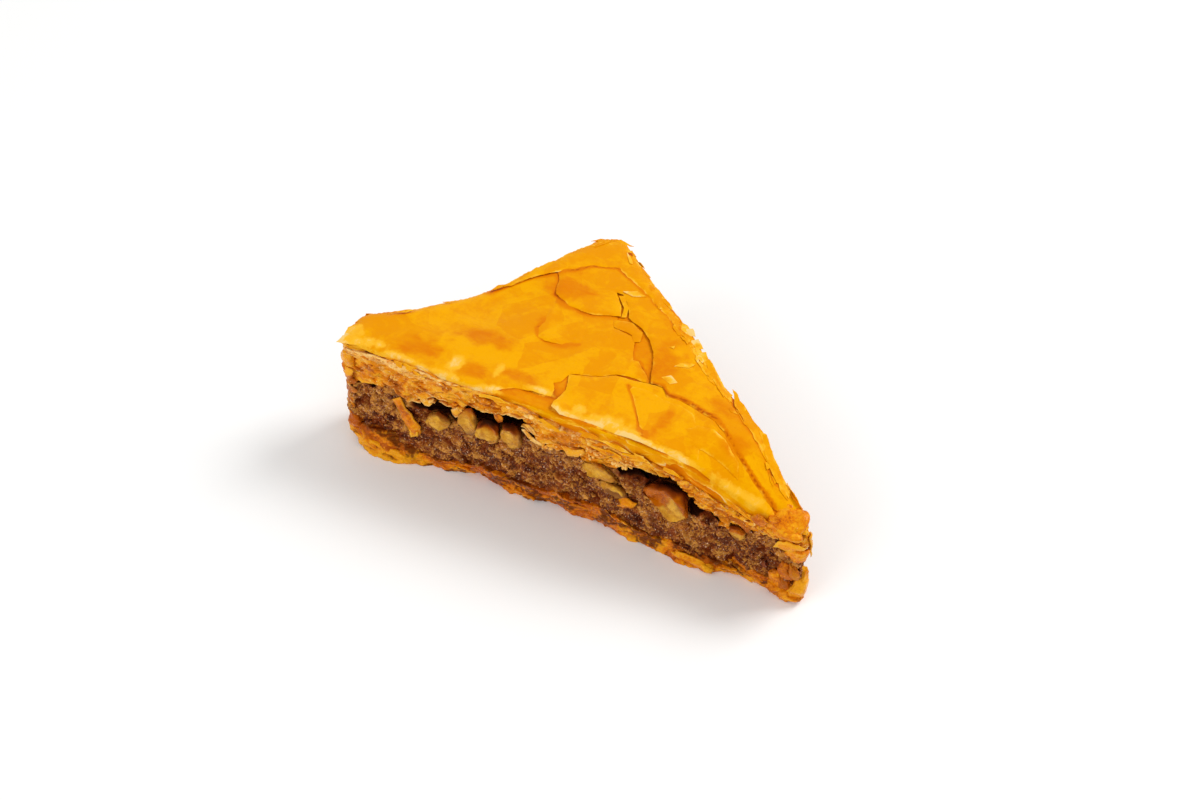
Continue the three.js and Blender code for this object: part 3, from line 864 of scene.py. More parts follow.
# Patches on the top as (x, w, half length, half width): stuck and browner, or lifted and pale.
TOAST_PATCHES = [
    (14.3, 4.6, 1, 2.2), (15.2, 8.4, 1.2, 2.4), (-31, 4.5, 7, 3), (-19.2, 3.9, 3.6, 2.4),
    (-11.5, 6, 4.4, 1.8), (14.6, 6.6, 1.6, 3.6), (-14, 29, 7, 3), (9, 20, 4, 6), (28, 8, 3, 2.5),
    (-22, 12, 7, 3), (22, 14.5, 4, 2.5),
]
PALE_PATCHES = [
    (-2.6, 1.7, 2, 0.6), (0.8, 1.9, 2.4, 0.7), (-23.6, 3.9, 1.6, 2.8), (-16, 5.2, 0.9, 2.2),
    (-38.5, 2.2, 3.2, 1.3), (-33, 0.9, 4.5, 1.1), (-25, 0.4, 5.5, 1.4), (-15.5, 0.9, 3.2, 1.4),
    (-7.5, 4.6, 3, 0.9), (8, 2.3, 6, 1.4), (1, 3.2, 1.8, 1.3), (7, 2.6, 4.6, 2.2), (12.8, 20.3, 1.6, 0.7),
    (-43, 3, 1.8, 2.4), (-41, 1.2, 3.4, 1.6), (14.5, 25, 2.2, 1.4), (9.5, 29, 2, 1.2), (32, 1.6, 6, 1.2),
    (20, 1.6, 4, 0.9),
]


def patch_marks(x, w, patches):
    """How strongly each point lies in any of the patches, 0 to 1, with uneven borders."""
    wobble = 0.4 * rough(places_at(x, w), 2.5, 5, 41, gain=0.65)
    best = np.zeros(len(x))
    for px, pw, half_x, half_w in patches:
        apart = np.hypot((x - px) / half_x, (w - pw) / half_w) + wobble
        best = np.maximum(best, 1 - smooth(apart, 0.3, 1.35))
    return best


def leaf_relief(flat, rim, places, level, lift, tuck, curls, seed):
    """The level of each point of a leaf on the top: its rim is tucked down or lifts, curls (x, w, radius,
    height) lift it more, and it rolls off at the hidden cuts."""
    x, w = flat.T
    raised = lift * np.clip(1 - rim / 1.8, 0, 1) ** 2 * (0.55 + 0.45 * waves(places, 3.5, seed))
    pressed = blend(max(tuck, level + 0.38), tuck, smooth(w, 1.8, 3.0)) if level > -0.4 else tuck
    raised += 0.06 * waves(places, 2.4, seed + 1) - pressed * np.clip(1 - rim / 0.6, 0, 1)
    for cx, cw, radius, height in curls:
        raised += height * (1 - smooth(np.hypot(x - cx, w - cw), 0, radius))
    from_cut = np.full(len(x), 9.0)
    inner = w > 1.5
    gaps = np.linalg.norm(flat[inner][:, None] - (RIM.xy[::4] - (0, FRONT))[None], axis=2)
    from_cut[inner] = gaps.min(1)
    return level + raised - 0.5 * np.clip(1 - from_cut / 2.4, 0, 1) ** 2


def leaf_marks(flat, rim, places, level, toast, pale_rim, rim_width, above, seed):
    """How pale a leaf on the top is, at its rim and over the long cut, and how brown in its patches,
    with a painted shadow beside the edges of the leaves above; the pale rim is partly a painted highlight."""
    x, w = flat.T
    # A pale rim: partly a paler torn edge, partly a painted highlight where light catches the edge.
    rims = pale_rim * np.clip(1 - rim / rim_width, 0, 1) * (0.6 + 0.7 * waves(places, 1.6, seed + 5))
    pale = np.maximum(0.7 * patch_marks(x, w, PALE_PATCHES), rims)
    if level > -0.3:
        band = (1 - smooth(w, 1.8, 3.2)) * (1 - 0.6 * smooth(x, 16, 28)) * np.clip(1.3 - rim / 1.3, 0, 1)
        pale = np.maximum(pale, band * (0.85 + 0.6 * waves(places, 2.4, seed + 8)))
    brown = np.maximum(toast, patch_marks(x, w, TOAST_PATCHES) * 0.66)
    # Painted shadow on this leaf beside the edges of the leaves above: a dark line and a softer band.
    for other in above:
        near = to_segments(flat, np.array(other, float))
        line = 1.9 * np.clip(1 - near / 0.65, 0, 1) * (0.8 + 0.6 * waves(places, 3.0, seed + 7))
        band = 1.4 * np.clip(1 - near / 2.0, 0, 1) * (0.5 + 0.9 * waves(places, 4.5, seed + 9))
        brown = np.max([brown, line, band], axis=0)
    return {"pale": np.tile(pale, 2), "toast": np.tile(brown, 2)}


def top_leaf(pile, outline, level, thickness, step=0.5, depth=0.22, seed=3, lift=0.0, curls=(), toast=0.0,
             pale_rim=0.4, rim_width=0.6, tuck=0.16, above=()):
    """One leaf on the top, from its outline as (x, w)."""
    outline = ragged(outline, depth=depth, seed=seed)
    flat, triangles = leaf_grid(outline, step)
    rim = to_outline(flat, outline)
    places = places_at(*flat.T, 7.0 * seed)
    points = drape(*flat.T, leaf_relief(flat, rim, places, level, lift, tuck, curls, seed))
    points[:, 2] = np.minimum(points[:, 2], HIGH[2] - thickness)
    solid, faces = thicken(points, triangles, thickness)
    pile.add(solid, faces, **leaf_marks(flat, rim, places, level, toast, pale_rim, rim_width, above, seed))


def whole_outline(shrink=0.0, hang=None):
    """The cut outline as (x, w), shrunk, with its long side hanging over the cut to w = hang(x)."""
    points = RIM.xy[::4] - RIM.out[::4] * shrink - (0, FRONT)
    if hang:
        line = np.array(hang, float)
        on_front = (RIM.out[::4, 1] < -0.9) & (points[:, 1] < 1)
        points[on_front, 1] = np.interp(points[on_front, 0], line[:, 0], line[:, 1])
    return points


THIN_SHARE = 0.7  # the thickness of flakes and small leaves, as a share of a whole leaf's
# Where the crisp leaves end over the long cut, as (x, w).
HANG = [
    (-44, 0.4), (-41, -0.2), (-38, -0.8), (-30, -0.8), (-20, -1), (-12, -0.9), (-8, -1.3), (-5, -2.4),
    (0, -2.8), (7, -3.1), (15, -3), (20, -3.3), (25, -3.2), (32, -3.4), (37, -3.2), (41, -2.4), (44, 0.3),
]
UNDER_LEAF = [
    (-44, 0.8), (-41, 0.2), (-36, -0.3), (-28, -0.8), (-20, -0.7), (-14, 0), (-8, 0.4), (44, 0.4),
]
# The leaves in that edge, from the lowest, as (share of the hang, level, toast, pale rim, seed).
HANGING = [
    (1, -1.22, 0.55, 0.9, 31), (0.88, -1.06, 0.1, 1.1, 41), (0.72, -0.92, 0.7, 0.5, 42),
    (0.52, -0.78, 0, 1.1, 43), (0.34, -0.64, 0.35, 0.9, 44), (0.12, -0.52, 0.1, 0.8, 45),
]


def hanging_outline(share, seed):
    """A strip along the long cut whose outer side is torn and hangs over it, as (x, w)."""
    x = np.arange(-43.8, 44.0, 0.9)
    base = np.interp(x, *np.array(HANG).T)
    places = places_at(x, np.full(len(x), 3.0 * seed))
    torn = 0.8 * rough(places, 6, 2, seed) + 0.6 * np.tanh(6 * waves(places, 3.0, seed + 1))
    torn += 1.6 * smooth(waves(places, 5.0, seed + 2), 0.25, 0.5)
    inner = [(44.0, 1.0), (41, 3.6), (30, 4.4), (0, 4.2), (-30, 4.2), (-41, 4.4), (-44.2, 4.0)]
    ends = smooth(np.abs(x), 40, 43.5)
    w = blend(base * share + torn * (0.55 + 0.45 * share), base * share, ends)
    return np.vstack([np.column_stack([x, np.minimum(w, 1.2)]), inner])


MAIN_LEAF = [
    (-44.7, -0.5), (-41, 0.2), (-38.6, -0.3), (-33, 0.3), (-29, -0.2), (-24, -0.5), (-18.6, -0.3),
    (-16, 0.1), (-12.8, 2.4), (-11.4, 3.3), (-8.2, 3.8), (-5, 4.3), (-5.3, 6), (-6.3, 7.5), (-5.4, 8.2),
    (-4.7, 10.4), (-3.6, 11), (-0.8, 11.9), (3, 14), (6, 14.2), (8.9, 14.4), (8.1, 15.2), (6.6, 16.6),
    (5, 18.3), (3.9, 18.1), (3.2, 19.5), (2.3, 22.2), (1.5, 23.2), (-2.4, 23.6), (-3.2, 26.4), (-8, 28.5),
    (-14, 31.2), (-17.5, 33.2), (-20.5, 31.6), (-24, 27.6), (-27.2, 24), (-30.1, 20.4), (-32.9, 17.2),
    (-34.8, 14.9), (-36.9, 12.2), (-38.6, 10.6), (-40.6, 9.6), (-43, 8.5), (-43.8, 7.4), (-43.5, 5.3),
    (-44.6, 3.6), (-44.3, 1.6),
]
BACK_LEAF = [
    (-17.5, 32.1), (-16.3, 30.4), (-15.5, 26.8), (-11.7, 25.3), (-9.4, 24.9), (-7.1, 25), (-2.7, 26.6),
    (-3.5, 29.2), (-5.6, 32), (-4.4, 32), (-2.5, 30), (-1.1, 26.8), (2.1, 25.6), (4.9, 23.4), (6.3, 21.3),
    (7.2, 18.7), (9, 14.2), (11.3, 14.2), (12.8, 12.6), (14.9, 13), (17.8, 12.3), (20.4, 11.4), (23, 10.9),
    (25.9, 8.5), (28.8, 6.3), (30.6, 5.3), (33.6, 3.7), (36.9, 2.3), (39.5, 2), (42.6, 3.2), (37, 7.4),
    (30, 12.6), (22, 18.4), (14, 25.2), (7.5, 30.6), (2, 34.5), (-3, 38), (-8, 40.5), (-13, 38.5),
    (-17.5, 34),
]
SHORT_LEAF = [
    (-14.3, 19.9), (-14.7, 18), (-13.6, 16.4), (-12, 15.9), (-9.1, 16.3), (-6.3, 17.4), (-6, 18.4),
    (-6.8, 22.1), (-7.2, 26.4), (-12, 27.2), (-15.2, 27), (-15, 23),
]
FRONT_LEAF = [
    (-4.1, 9), (-3.3, 6.4), (-3.7, 4.4), (-3.9, 1.8), (-1.9, 1), (1.3, 1.5), (3.8, 1.7), (8, 1.3),
    (13.6, 1.1), (18, 1.2), (21.7, 1.2), (23.7, 1.3), (29.4, 0.5), (32.4, 0.4), (37.3, 0.2), (38.2, 1.4),
    (37.1, 2.7), (33.8, 4.1), (30.6, 5.7), (28.8, 6.7), (25.9, 8.9), (23, 11.4), (20.2, 11.8), (17.6, 12.7),
    (14.9, 13.4), (12.8, 13), (11.3, 14.5), (8.7, 14.3), (6, 13.7), (3, 13.4), (-0.8, 11.4), (-3.2, 10.6),
    (-4.6, 10.3),
]
RIM_LEAF = [
    (-26.8, 23.6), (-25.6, 24.6), (-22.3, 27.9), (-17.8, 31.9), (-14.7, 33.8), (-12.7, 35.9), (-9.9, 36.9),
    (-8.2, 37.6), (-6.1, 36.5), (-3.8, 35.3), (-0.3, 33.3), (2.8, 31.5), (5.4, 30), (7.8, 27.6),
    (10.6, 28.2), (6, 31.6), (0.5, 36), (-5, 40.2), (-8.8, 43.6), (-10.2, 44.6), (-12.6, 44.2),
    (-14.8, 43.2), (-17, 38.6), (-19.8, 33.8), (-23.4, 28.4),
]
# The right part of the front leaf, raised along a crease.
RIGHT_FLAP = [
    (5.8, 12.2), (8.2, 9.3), (10.4, 6.4), (11.8, 4), (13, 2.2), (18, 1.5), (23.6, 2.2), (22, 6.4),
    (19, 10.6), (15.8, 11.8), (12.6, 11.9), (9, 12.8),
]
SCORCHED_SPOT = [(-8.6, 42.4), (-7.6, 42.6), (-7.2, 41.6), (-8.2, 41.2)]
RIGHT_SLIVER = [
    (22.3, 18.9), (24.2, 15.4), (26.6, 13.8), (29.6, 11), (33, 8.4), (36.4, 6), (37.2, 6.2), (35.4, 8.3),
    (32, 11.4), (27.5, 15),
]
RIGHT_PATCH = [
    (19, 7.2), (19.6, 5.2), (20.2, 3.6), (23.3, 4.6), (26.5, 4), (30.5, 3.2), (29.6, 5.4), (26.8, 7.2),
    (23.4, 9), (20.6, 8.6),
]
# The sliver left standing in the slit of the back leaf, and the torn strip under its edge.
SLIT_SLIVER = [(-5, 31.4), (-4.2, 31.6), (-2.2, 29.2), (-1.5, 26.9), (-2.3, 26.6), (-3.1, 29)]
TORN_STRIP = [
    (-3.2, 25.4), (-2.4, 23.9), (1.2, 23.5), (2.2, 22), (3.2, 22.6), (2.6, 24.8), (0, 26.2),
]
# Narrow leaf ends along the right rim.
RIGHT_STRIPS = [
    [(7.6, 30.2), (10.2, 26.6), (13.4, 23.6), (16, 22.2), (15.4, 23.6), (11.8, 26.8), (9, 29.9)],
    [(14.6, 24.2), (17.6, 20.4), (21, 17.6), (23.6, 16), (22.6, 17.8), (18.8, 21.2), (16, 24)],
    [(24, 16.6), (26.6, 13.2), (30.4, 10.2), (33.4, 8.6), (31.6, 10.8), (28, 14.2), (25.4, 16.6)],
    [(30, 12.2), (33, 9), (36.6, 6.4), (39.4, 4.8), (38.4, 6.4), (34.6, 9.6), (31.6, 12.2)],
]
SMALL_FLAKES = [
    [(-4.7, 32.4), (-2.6, 32), (-0.4, 32.9), (-2.4, 33.5)],
    [(8.6, 23.4), (9.4, 23.3), (9.3, 24)],
    [(11.2, 19.4), (13.6, 20.2), (14.3, 21.4), (12.4, 21.3)],
    [(10.3, 16.2), (12.2, 15.2), (13.2, 16.2), (11.6, 17.2)],
    [(8.6, 28.8), (10.2, 27.6), (11.4, 27.8), (10.2, 29.3)],
    [(10.8, 26.6), (12.6, 25.2), (13.8, 25.7), (12.2, 27.3)],
    [(13.2, 24.4), (15, 23), (16.2, 23.3), (14.6, 25.3)],
]


def rim_flakes(rng, count):
    """Outlines (x, w) of small loose flakes along the upper rims of the hidden cuts, mostly the right one."""
    behind = RIM.at[-1] - RIM.front_length
    for _ in range(count):
        share = rng.uniform(0.05, 0.52) if rng.random() < 0.8 else rng.uniform(0.55, 0.93)
        point, out = RIM.place(RIM.front_length + behind * share, 0.0, -rng.uniform(0.2, 1.9))
        middle = point[:2] - (0, FRONT)
        along = np.array([-out[1], out[0]])
        size = rng.uniform(0.5, 1.3)
        turns = np.sort(rng.uniform(0, 2 * np.pi, rng.integers(4, 7)))
        yield middle + size * (1.9 * np.cos(turns)[:, None] * along + 0.5 * np.sin(turns)[:, None] * out)


def large_leaves(pile, thick, thin):
    """The leaves on the top, from the lowest."""
    def leaf(outline, level, thickness=thick, **look):
        top_leaf(pile, outline, level, thickness, **look)

    for k, level in enumerate((-2.5, -2.15, -1.8, -1.45, -1.1)):
        leaf(whole_outline(0.12 * (k % 3)), level, step=2.2, depth=0.5, seed=20 + k, toast=0.2, pale_rim=0.9)
    for share, level, toast, pale_rim, seed in HANGING:
        leaf(hanging_outline(share, seed), level, depth=0.45, seed=seed, toast=toast, lift=0.04,
             pale_rim=pale_rim, rim_width=0.8)
    leaf(whole_outline(0.0, UNDER_LEAF), -0.42, depth=0.35, seed=32, toast=0.55, pale_rim=0.6,
         above=[MAIN_LEAF, BACK_LEAF, FRONT_LEAF])
    leaf(MAIN_LEAF, -0.2, lift=0.04, depth=0.28, seed=33, above=[BACK_LEAF, SHORT_LEAF[:6], RIM_LEAF],
         curls=[(-44, 2, 6, 0.3), (-8.2, 3.6, 3, 0.25)])
    leaf(SHORT_LEAF, -0.12, lift=0.04, seed=34, curls=[(-11, 16, 4, 0.2)], above=[BACK_LEAF])
    leaf(FRONT_LEAF, -0.03, lift=0.03, seed=35, above=[RIGHT_FLAP[:5]],
         curls=[(-3.9, 1.8, 4, 0.7), (13, 1.2, 5, 0.3)])
    leaf(RIGHT_FLAP, 0.1, thin, seed=49, depth=0.14, pale_rim=0.7, tuck=0.1, curls=[(12.6, 1.6, 3, 0.15)])
    leaf(BACK_LEAF, 0.1, lift=0.06, depth=0.26, seed=33, curls=[(9, 15, 5, 0.12)], tuck=0.17,
         above=[FRONT_LEAF, RIM_LEAF, RIGHT_SLIVER])
    leaf(SLIT_SLIVER, 0.1, depth=0.16, seed=46)
    leaf(TORN_STRIP, -0.1, lift=0.06, depth=0.2, seed=47, toast=0.3)
    leaf(RIGHT_PATCH, 0.18, thin, seed=36, pale_rim=0.8)
    leaf(RIM_LEAF, 0.2, lift=0.06, depth=0.35, seed=37, pale_rim=0.8, above=RIGHT_STRIPS)
    leaf(RIGHT_SLIVER, 0.25, lift=0.2, depth=0.3, seed=38, curls=[(22.5, 18.5, 5, 0.4)])
    for k, strip in enumerate(RIGHT_STRIPS):
        leaf(strip, 0.22 + 0.05 * k, lift=0.16, depth=0.3, seed=60 + k, toast=0.3 * (k % 2), pale_rim=0.7)
    leaf(SCORCHED_SPOT, 0.3, thin, step=0.3, depth=0.15, seed=68, toast=3.0, pale_rim=0.0)


def make_crisp_leaves(sizes, colours):
    """The baked leaves: whole and torn ones on the top, flakes on their cut edges, and loose flakes."""
    pile = LeafPile("pale", "toast")
    thick = sizes.leaf_thickness / MM
    thin = THIN_SHARE * thick
    large_leaves(pile, thick, thin)
    upper = RIM.line([(x, crest(x, 0.0) - 0.5) for x in range(-44, 45, 2)], SOAK_LINE_BACK)
    lower = RIM.line([(x, crest(x, 0.0) - 0.9 + min(w, 0)) for x, w in HANG], SOAK_LINE_BACK)
    at_front = RIM.at < RIM.front_length
    lower, upper = np.where(at_front, lower, upper - 0.8), np.where(at_front, upper, upper + 1.2)
    smears(pile, np.random.default_rng(89), sizes.smear_count, lower, upper, toast=(0.0, 0.9),
           pale_rim=(0.1, 0.8), bulge=(0.0, 0.3))
    rng = np.random.default_rng(90)
    for k, flake in enumerate([*SMALL_FLAKES, *rim_flakes(rng, sizes.flake_count)]):
        dry = k < len(SMALL_FLAKES)
        top_leaf(pile, flake, 0.32, thin, step=0.45, depth=0.14, seed=70 + k,
                 lift=rng.uniform(0.02, 0.2), pale_rim=rng.uniform(0.2, 0.9) + 0.7 * dry,
                 toast=rng.uniform(0, 0.4), rim_width=2.5 if dry else 0.6)
    return pile.piece("crisp_leaves", crisp_finish(colours), "crisp_leaves", sharp=50)


# ---------- soaked stack, base and folds


def leaf_edges(points, thickness, seed):
    """How proud a stack of soft wet leaves stands at points (n, 3) on a cut, and its marks."""
    layer = (points[:, 2] + layer_warp(points, seed)) / thickness
    leaf = np.floor(layer)
    phase = layer - leaf
    own = points * (1, 1, 0) + np.column_stack([np.zeros((len(points), 2)), 7.3 * leaf])
    edge = 0.3 * rough(own, 3.4, 2, seed + 10)
    body = smooth(phase, 0, 0.5) * (1 - smooth(phase, 0.65, 1))
    groove = 0.05 + 0.5 * smooth(rough(own, 2.6, 2, seed + 40), 0.0, 0.7)
    near, _, own_lump = crumbs(points * (0.8, 0.8, 1.1), 1.0, seed + 50)
    bubble = smooth(0.6 - near, 0, 0.45) * (own_lump > 0.55)
    swell = rough(points * (0.8, 0.8, 1.1), 2.6, 3, seed + 60)
    proud = blend(-groove, edge, body) + 0.3 * bubble + 0.6 * swell
    tone = 0.5 + 0.2 * rough(own, 3.2, 2, seed + 30) + 0.55 * rough(points, 3.6, 3, seed + 70)
    # Painted shade in the grooves between leaves, where syrup darkens them too, and in the dips.
    deep = 0.75 * (1 - body) * smooth(groove, 0.3, 0.55) + 0.5 * smooth(-swell, 0.35, 0.8)
    # Pale tops of the proud leaf edges and bubbles: partly paler dry edges, partly a painted highlight.
    pale = np.maximum(smooth(edge, 0.1, 0.4) * smooth(phase, 0.45, 0.62) * body, 0.5 * bubble)
    return proud, {"tone": tone, "deep": np.clip(deep, 0, 1), "pale": pale}


# Slits in the stack on the long cut, darkened with painted shade, as (x, z, half length, half height).
SLITS = [
    (2.4, 19.2, 1.3, 0.28), (5.2, 20, 0.6, 0.25), (5.2, 18.1, 1.3, 0.32), (1.5, 16.6, 1.1, 0.3),
    (-2.2, 18.9, 0.8, 0.2), (9.2, 19, 0.7, 0.2),
]
# Clusters of cream bubbles in the stack on the long cut, as (way along the cut, z, size, paleness, how many).
BEADS = [
    (9.8, 19, 0.42, 1, 7), (10.6, 18.6, 0.36, 0.9, 5), (4.2, 19.8, 0.36, 1, 5), (5.6, 19.6, 0.34, 0.9, 4),
    (3.9, 17.9, 0.34, 0.8, 4), (-4.6, 16.9, 0.34, 0.9, 4), (-26.9, 17.6, 0.34, 0.9, 3),
    (-33.4, 20.4, 0.3, 0.7, 4), (-16.6, 22.2, 0.3, 0.7, 3), (-6.8, 21.9, 0.3, 0.6, 3),
    (35.2, 15.6, 0.32, 0.8, 3),
]
# Curled ends of leaves along the hollows, as (outline of (way along the cut, z), proud, bulge, tone, pale).
RIBBONS = [
    ([(-8.6, 19.2), (-7.9, 18.1), (-7, 17), (-6.1, 16.7), (-4.8, 16.7), (-4.6, 17.3), (-5.9, 17.5),
      (-6.8, 18), (-7.5, 19), (-8, 19.5)], 0.2, 0.3, 0.8, 1.1),
    ([(-8.2, 20.6), (-7.1, 19.8), (-6.3, 19), (-5.6, 19.3), (-6.2, 20.2), (-7.1, 20.8)], 0.2, 0.3, 0.8, 0.9),
    ([(-28.6, 17.2), (-27.2, 18), (-26.2, 17.4), (-26.8, 16.6), (-27.6, 16.4)], 0.2, 0.3, 0.9, 0.9),
    ([(-22.4, 17.6), (-21, 18.9), (-20.2, 18.5), (-20.6, 17), (-21.6, 16), (-22.2, 16.4)], 0.1, 0.4, 0.9,
      0.8),
    ([(-1.1, 18.4), (0.3, 16.6), (2.1, 17), (3.6, 18.7), (3.2, 19.5), (1.1, 18.3), (0, 18.9)], 0.1, 0.5, 1,
      0.3),
    ([(-14, 20.3), (-12.9, 20.6), (-12.3, 19.9), (-12.4, 19), (-13.2, 18.5), (-13.9, 19.2)], 0, 0.4, 0.4,
      0.2),
    ([(29.8, 15.2), (31.6, 16.4), (33, 15.8), (34.4, 14.2), (34, 13.2), (32.6, 14.4), (31.2, 14.9)], 0.1,
      0.4, 0.2, 0.3),
]
# Folded leaf ends round the left end, as (outline of (way along the cut, z), proud, tone, pale).
LEFT_FOLDS = [
    ([(-52, 22), (-47, 22.6), (-43.8, 22.2), (-42.6, 20.6), (-43.6, 19.2), (-47, 19.4), (-52, 19)], 0.1, 0.7,
      0.3),
    ([(-52, 18.8), (-47, 18.4), (-43.6, 19), (-41.6, 18.2), (-42.2, 16.6), (-44, 16.2), (-47, 16.6),
      (-52, 16)], 0.2, 0.55, 0.1),
    ([(-52, 16.6), (-46, 16), (-43, 16.4), (-41.4, 15.4), (-41.9, 14.5), (-43.6, 14.2), (-47, 14),
      (-52, 14.4)], 0.1, 0.25, 0.35),
    ([(-52, 14.2), (-46, 14.6), (-43.2, 14.4), (-41, 13.3), (-42.4, 12.3), (-44, 12.4), (-47, 12),
      (-52, 12)], 0.25, 0.45, 0.2),
    ([(-52, 12.4), (-47, 11.8), (-43.2, 12.4), (-41.8, 11.2), (-42.6, 10.1), (-44, 9.8), (-47, 10.4),
      (-52, 10)], 0.05, 0.15, 0.3),
    ([(-52, 10), (-46, 10.2), (-43.4, 10), (-42.2, 8.8), (-42.8, 7.9), (-44, 7.4), (-47, 7.8), (-52, 7)],
      0.15, 0.5, 0.1),
    ([(-52, 7.4), (-46, 7.6), (-43.6, 7.2), (-43.2, 5.6), (-44, 4.6), (-47, 5.2), (-52, 4.4)], 0.2, 0.2, 0),
]


def soaked_side(low, high, thickness):
    """The stack's cut side with its slits, lips and arch, and its marks."""
    x, w = RIM.x, RIM.w
    side, marks = side_rows(low, high, STACK_ROWS,
                            lambda flat, height: leaf_edges(flat, thickness, STACK_SEED))
    height = np.linspace(0, 1, len(side))[:, None]
    for slit_x, slit_z, half_x, half_z in SLITS:
        apart = np.hypot((side[:, :, 0] - slit_x) / half_x, (side[:, :, 2] - slit_z) / half_z)
        slit = (1 - smooth(apart, 0.6, 1.3)) * (w < 1)
        side[:, :, :2] -= 1.1 * slit[..., None] * RIM.out
        # The slits get painted shade.
        marks["deep"] = np.maximum(marks["deep"], 1.4 * slit)
    torn = smooth(RIM.rough(3.0, 2, 102), -0.3, 0.2)
    # A pale torn lip over the hollows: the roof leaf's cream edge, partly a painted highlight.
    lip = 0.6 * np.exp(-(((height - 0.045) / 0.03) ** 2)) * torn
    pale = marks["pale"] * blend(0.4, 1.0, height) + 0.3 * smooth(height, 0.7, 1.0) + lip
    left = smooth(-x, 14, 30) * (w < 6)
    marks["tone"] += blend(-0.15, 0.3, height) + 0.25 * left
    # Less painted shade at the left end.
    marks["deep"] *= 1 - 0.4 * left
    dry = 0.35 * left * smooth(height, 0.5, 0.95) * (marks["tone"] > 0.6)
    marks["pale"] = np.clip(np.clip(pale, 0, 1) + dry, 0, 1)
    side[:2, :, :2] -= 0.35 * RIM.out
    arch = smooth(x, 9, 11) * (1 - smooth(x, 29, 31)) * (w < 1)
    side[:, :, :2] -= (0.6 * arch * (1 - smooth(height, 0.0, 0.25)))[..., None] * RIM.out
    return side, marks


def torn_ends(pile, rng, count, low, high):
    """Leaf ends that stand out of the stack all round."""
    for number in range(count):
        at, column = RIM.anywhere(rng)
        share = rng.uniform(0.1, 1.02)
        z = blend(low[column], high[column], share)
        fringe(pile, at, z, rng.uniform(1.2, 4.0), rng.uniform(0.15, 0.5), rng.uniform(-0.05, 0.3), 0.12,
               120 + number, tone=rng.uniform(0.4, 0.9), pale=rng.uniform(0.0, 0.3) + 0.4 * share**2)


def syrup_blobs(pile, rng, count, low, high):
    """Blobs all round the stack, and the clusters of cream bubbles on the long cut."""
    small = ball(2)
    for number in range(count):
        at, column = RIM.anywhere(rng)
        half = rng.uniform(0.5, 1.5), rng.uniform(0.3, 0.65), rng.uniform(0.3, 0.6)
        z = blend(low[column], high[column], rng.uniform(0.08, 0.95))
        lump(pile, at - RIM.middle, z, -0.15, half, 1000 + number, rng.normal(0, 0.3), shape=small,
             tone=rng.uniform(0.2, 1.0), pale=rng.uniform(0, 0.6) ** 2)
    for number, (at, z, size, pale, amount) in enumerate(BEADS):
        for k in range(amount):
            half = size * rng.uniform(0.6, 1.3, 3)
            lump(pile, at + rng.normal(0, 0.7), z + rng.normal(0, 0.3), 0.0, half, 1400 + 20 * number + k,
                 tone=1.0, pale=pale, shape=small)


def curled_ends(pile, rng, low):
    """Leaf ends along the hollows, and folded ones round the left end."""
    for number, (outline, proud, bulge, tone, pale) in enumerate(RIBBONS):
        side_leaf(pile, outline, 0.25, proud, 900 + number, step=0.25, depth=0.1, bulge=bulge, tone=tone,
                  pale_rim=pale)
    for number, s in enumerate(np.concatenate([np.arange(-30, -4, 2.3), [10.5, 13.0]])):
        at = RIM.middle + s
        z = low[RIM.index(at)] + rng.uniform(0.0, 0.3)
        fringe(pile, at, z + 0.2, rng.uniform(2.4, 4.2), rng.uniform(0.1, 0.4), rng.uniform(0.0, 0.2), 0.16,
               700 + number, tone=0.75, pale=0.6)
    for number, (outline, proud, tone, pale) in enumerate(LEFT_FOLDS):
        slope = rng.uniform(-0.16, 0.16)
        outline = [(s, z + slope * (s + LONG_CUT / 2)) for s, z in outline]
        side_leaf(pile, outline, 0.3, proud + rng.uniform(-0.15, 0.15), 800 + number, depth=0.6, bulge=0.15,
                  crease=0.25, tone=tone, pale_rim=0.2 + pale)


def make_soaked_stack(sizes, colours):
    """The stack of syrup-soaked leaves under the crisp ones, with torn leaf ends out of its sides."""
    low = RIM.line(ROOF_LINE, ROOF_LINE_BACK) + 0.25 * RIM.rough(2.4, 3, 101)
    high = RIM.line(SOAK_LINE, SOAK_LINE_BACK)
    side, marks = soaked_side(low, high, sizes.soaked_leaf / MM)
    rings = layer_rings(side, low, high, lambda x, w: FILLING_INSIDE, lambda x, w: crest(x, w) - 2.9)
    points, faces, marks = closed_layer(rings, marks)
    # Under the stack, over the hollows, everything is painted in full shade.
    marks["deep"][:len(INNER_SHARES) * RIM.count] = 1.0
    pile = LeafPile("tone", "deep", "pale")
    pile.add(points, faces, **marks)
    rng = np.random.default_rng(110)
    torn_ends(pile, rng, sizes.fringe_count, low, high)
    syrup_blobs(pile, rng, sizes.blob_count, low, high)
    curled_ends(pile, rng, low)
    return pile.piece("soaked_leaves", soaked_finish(colours), "crisp_leaves", replaces=["filo_crust"])


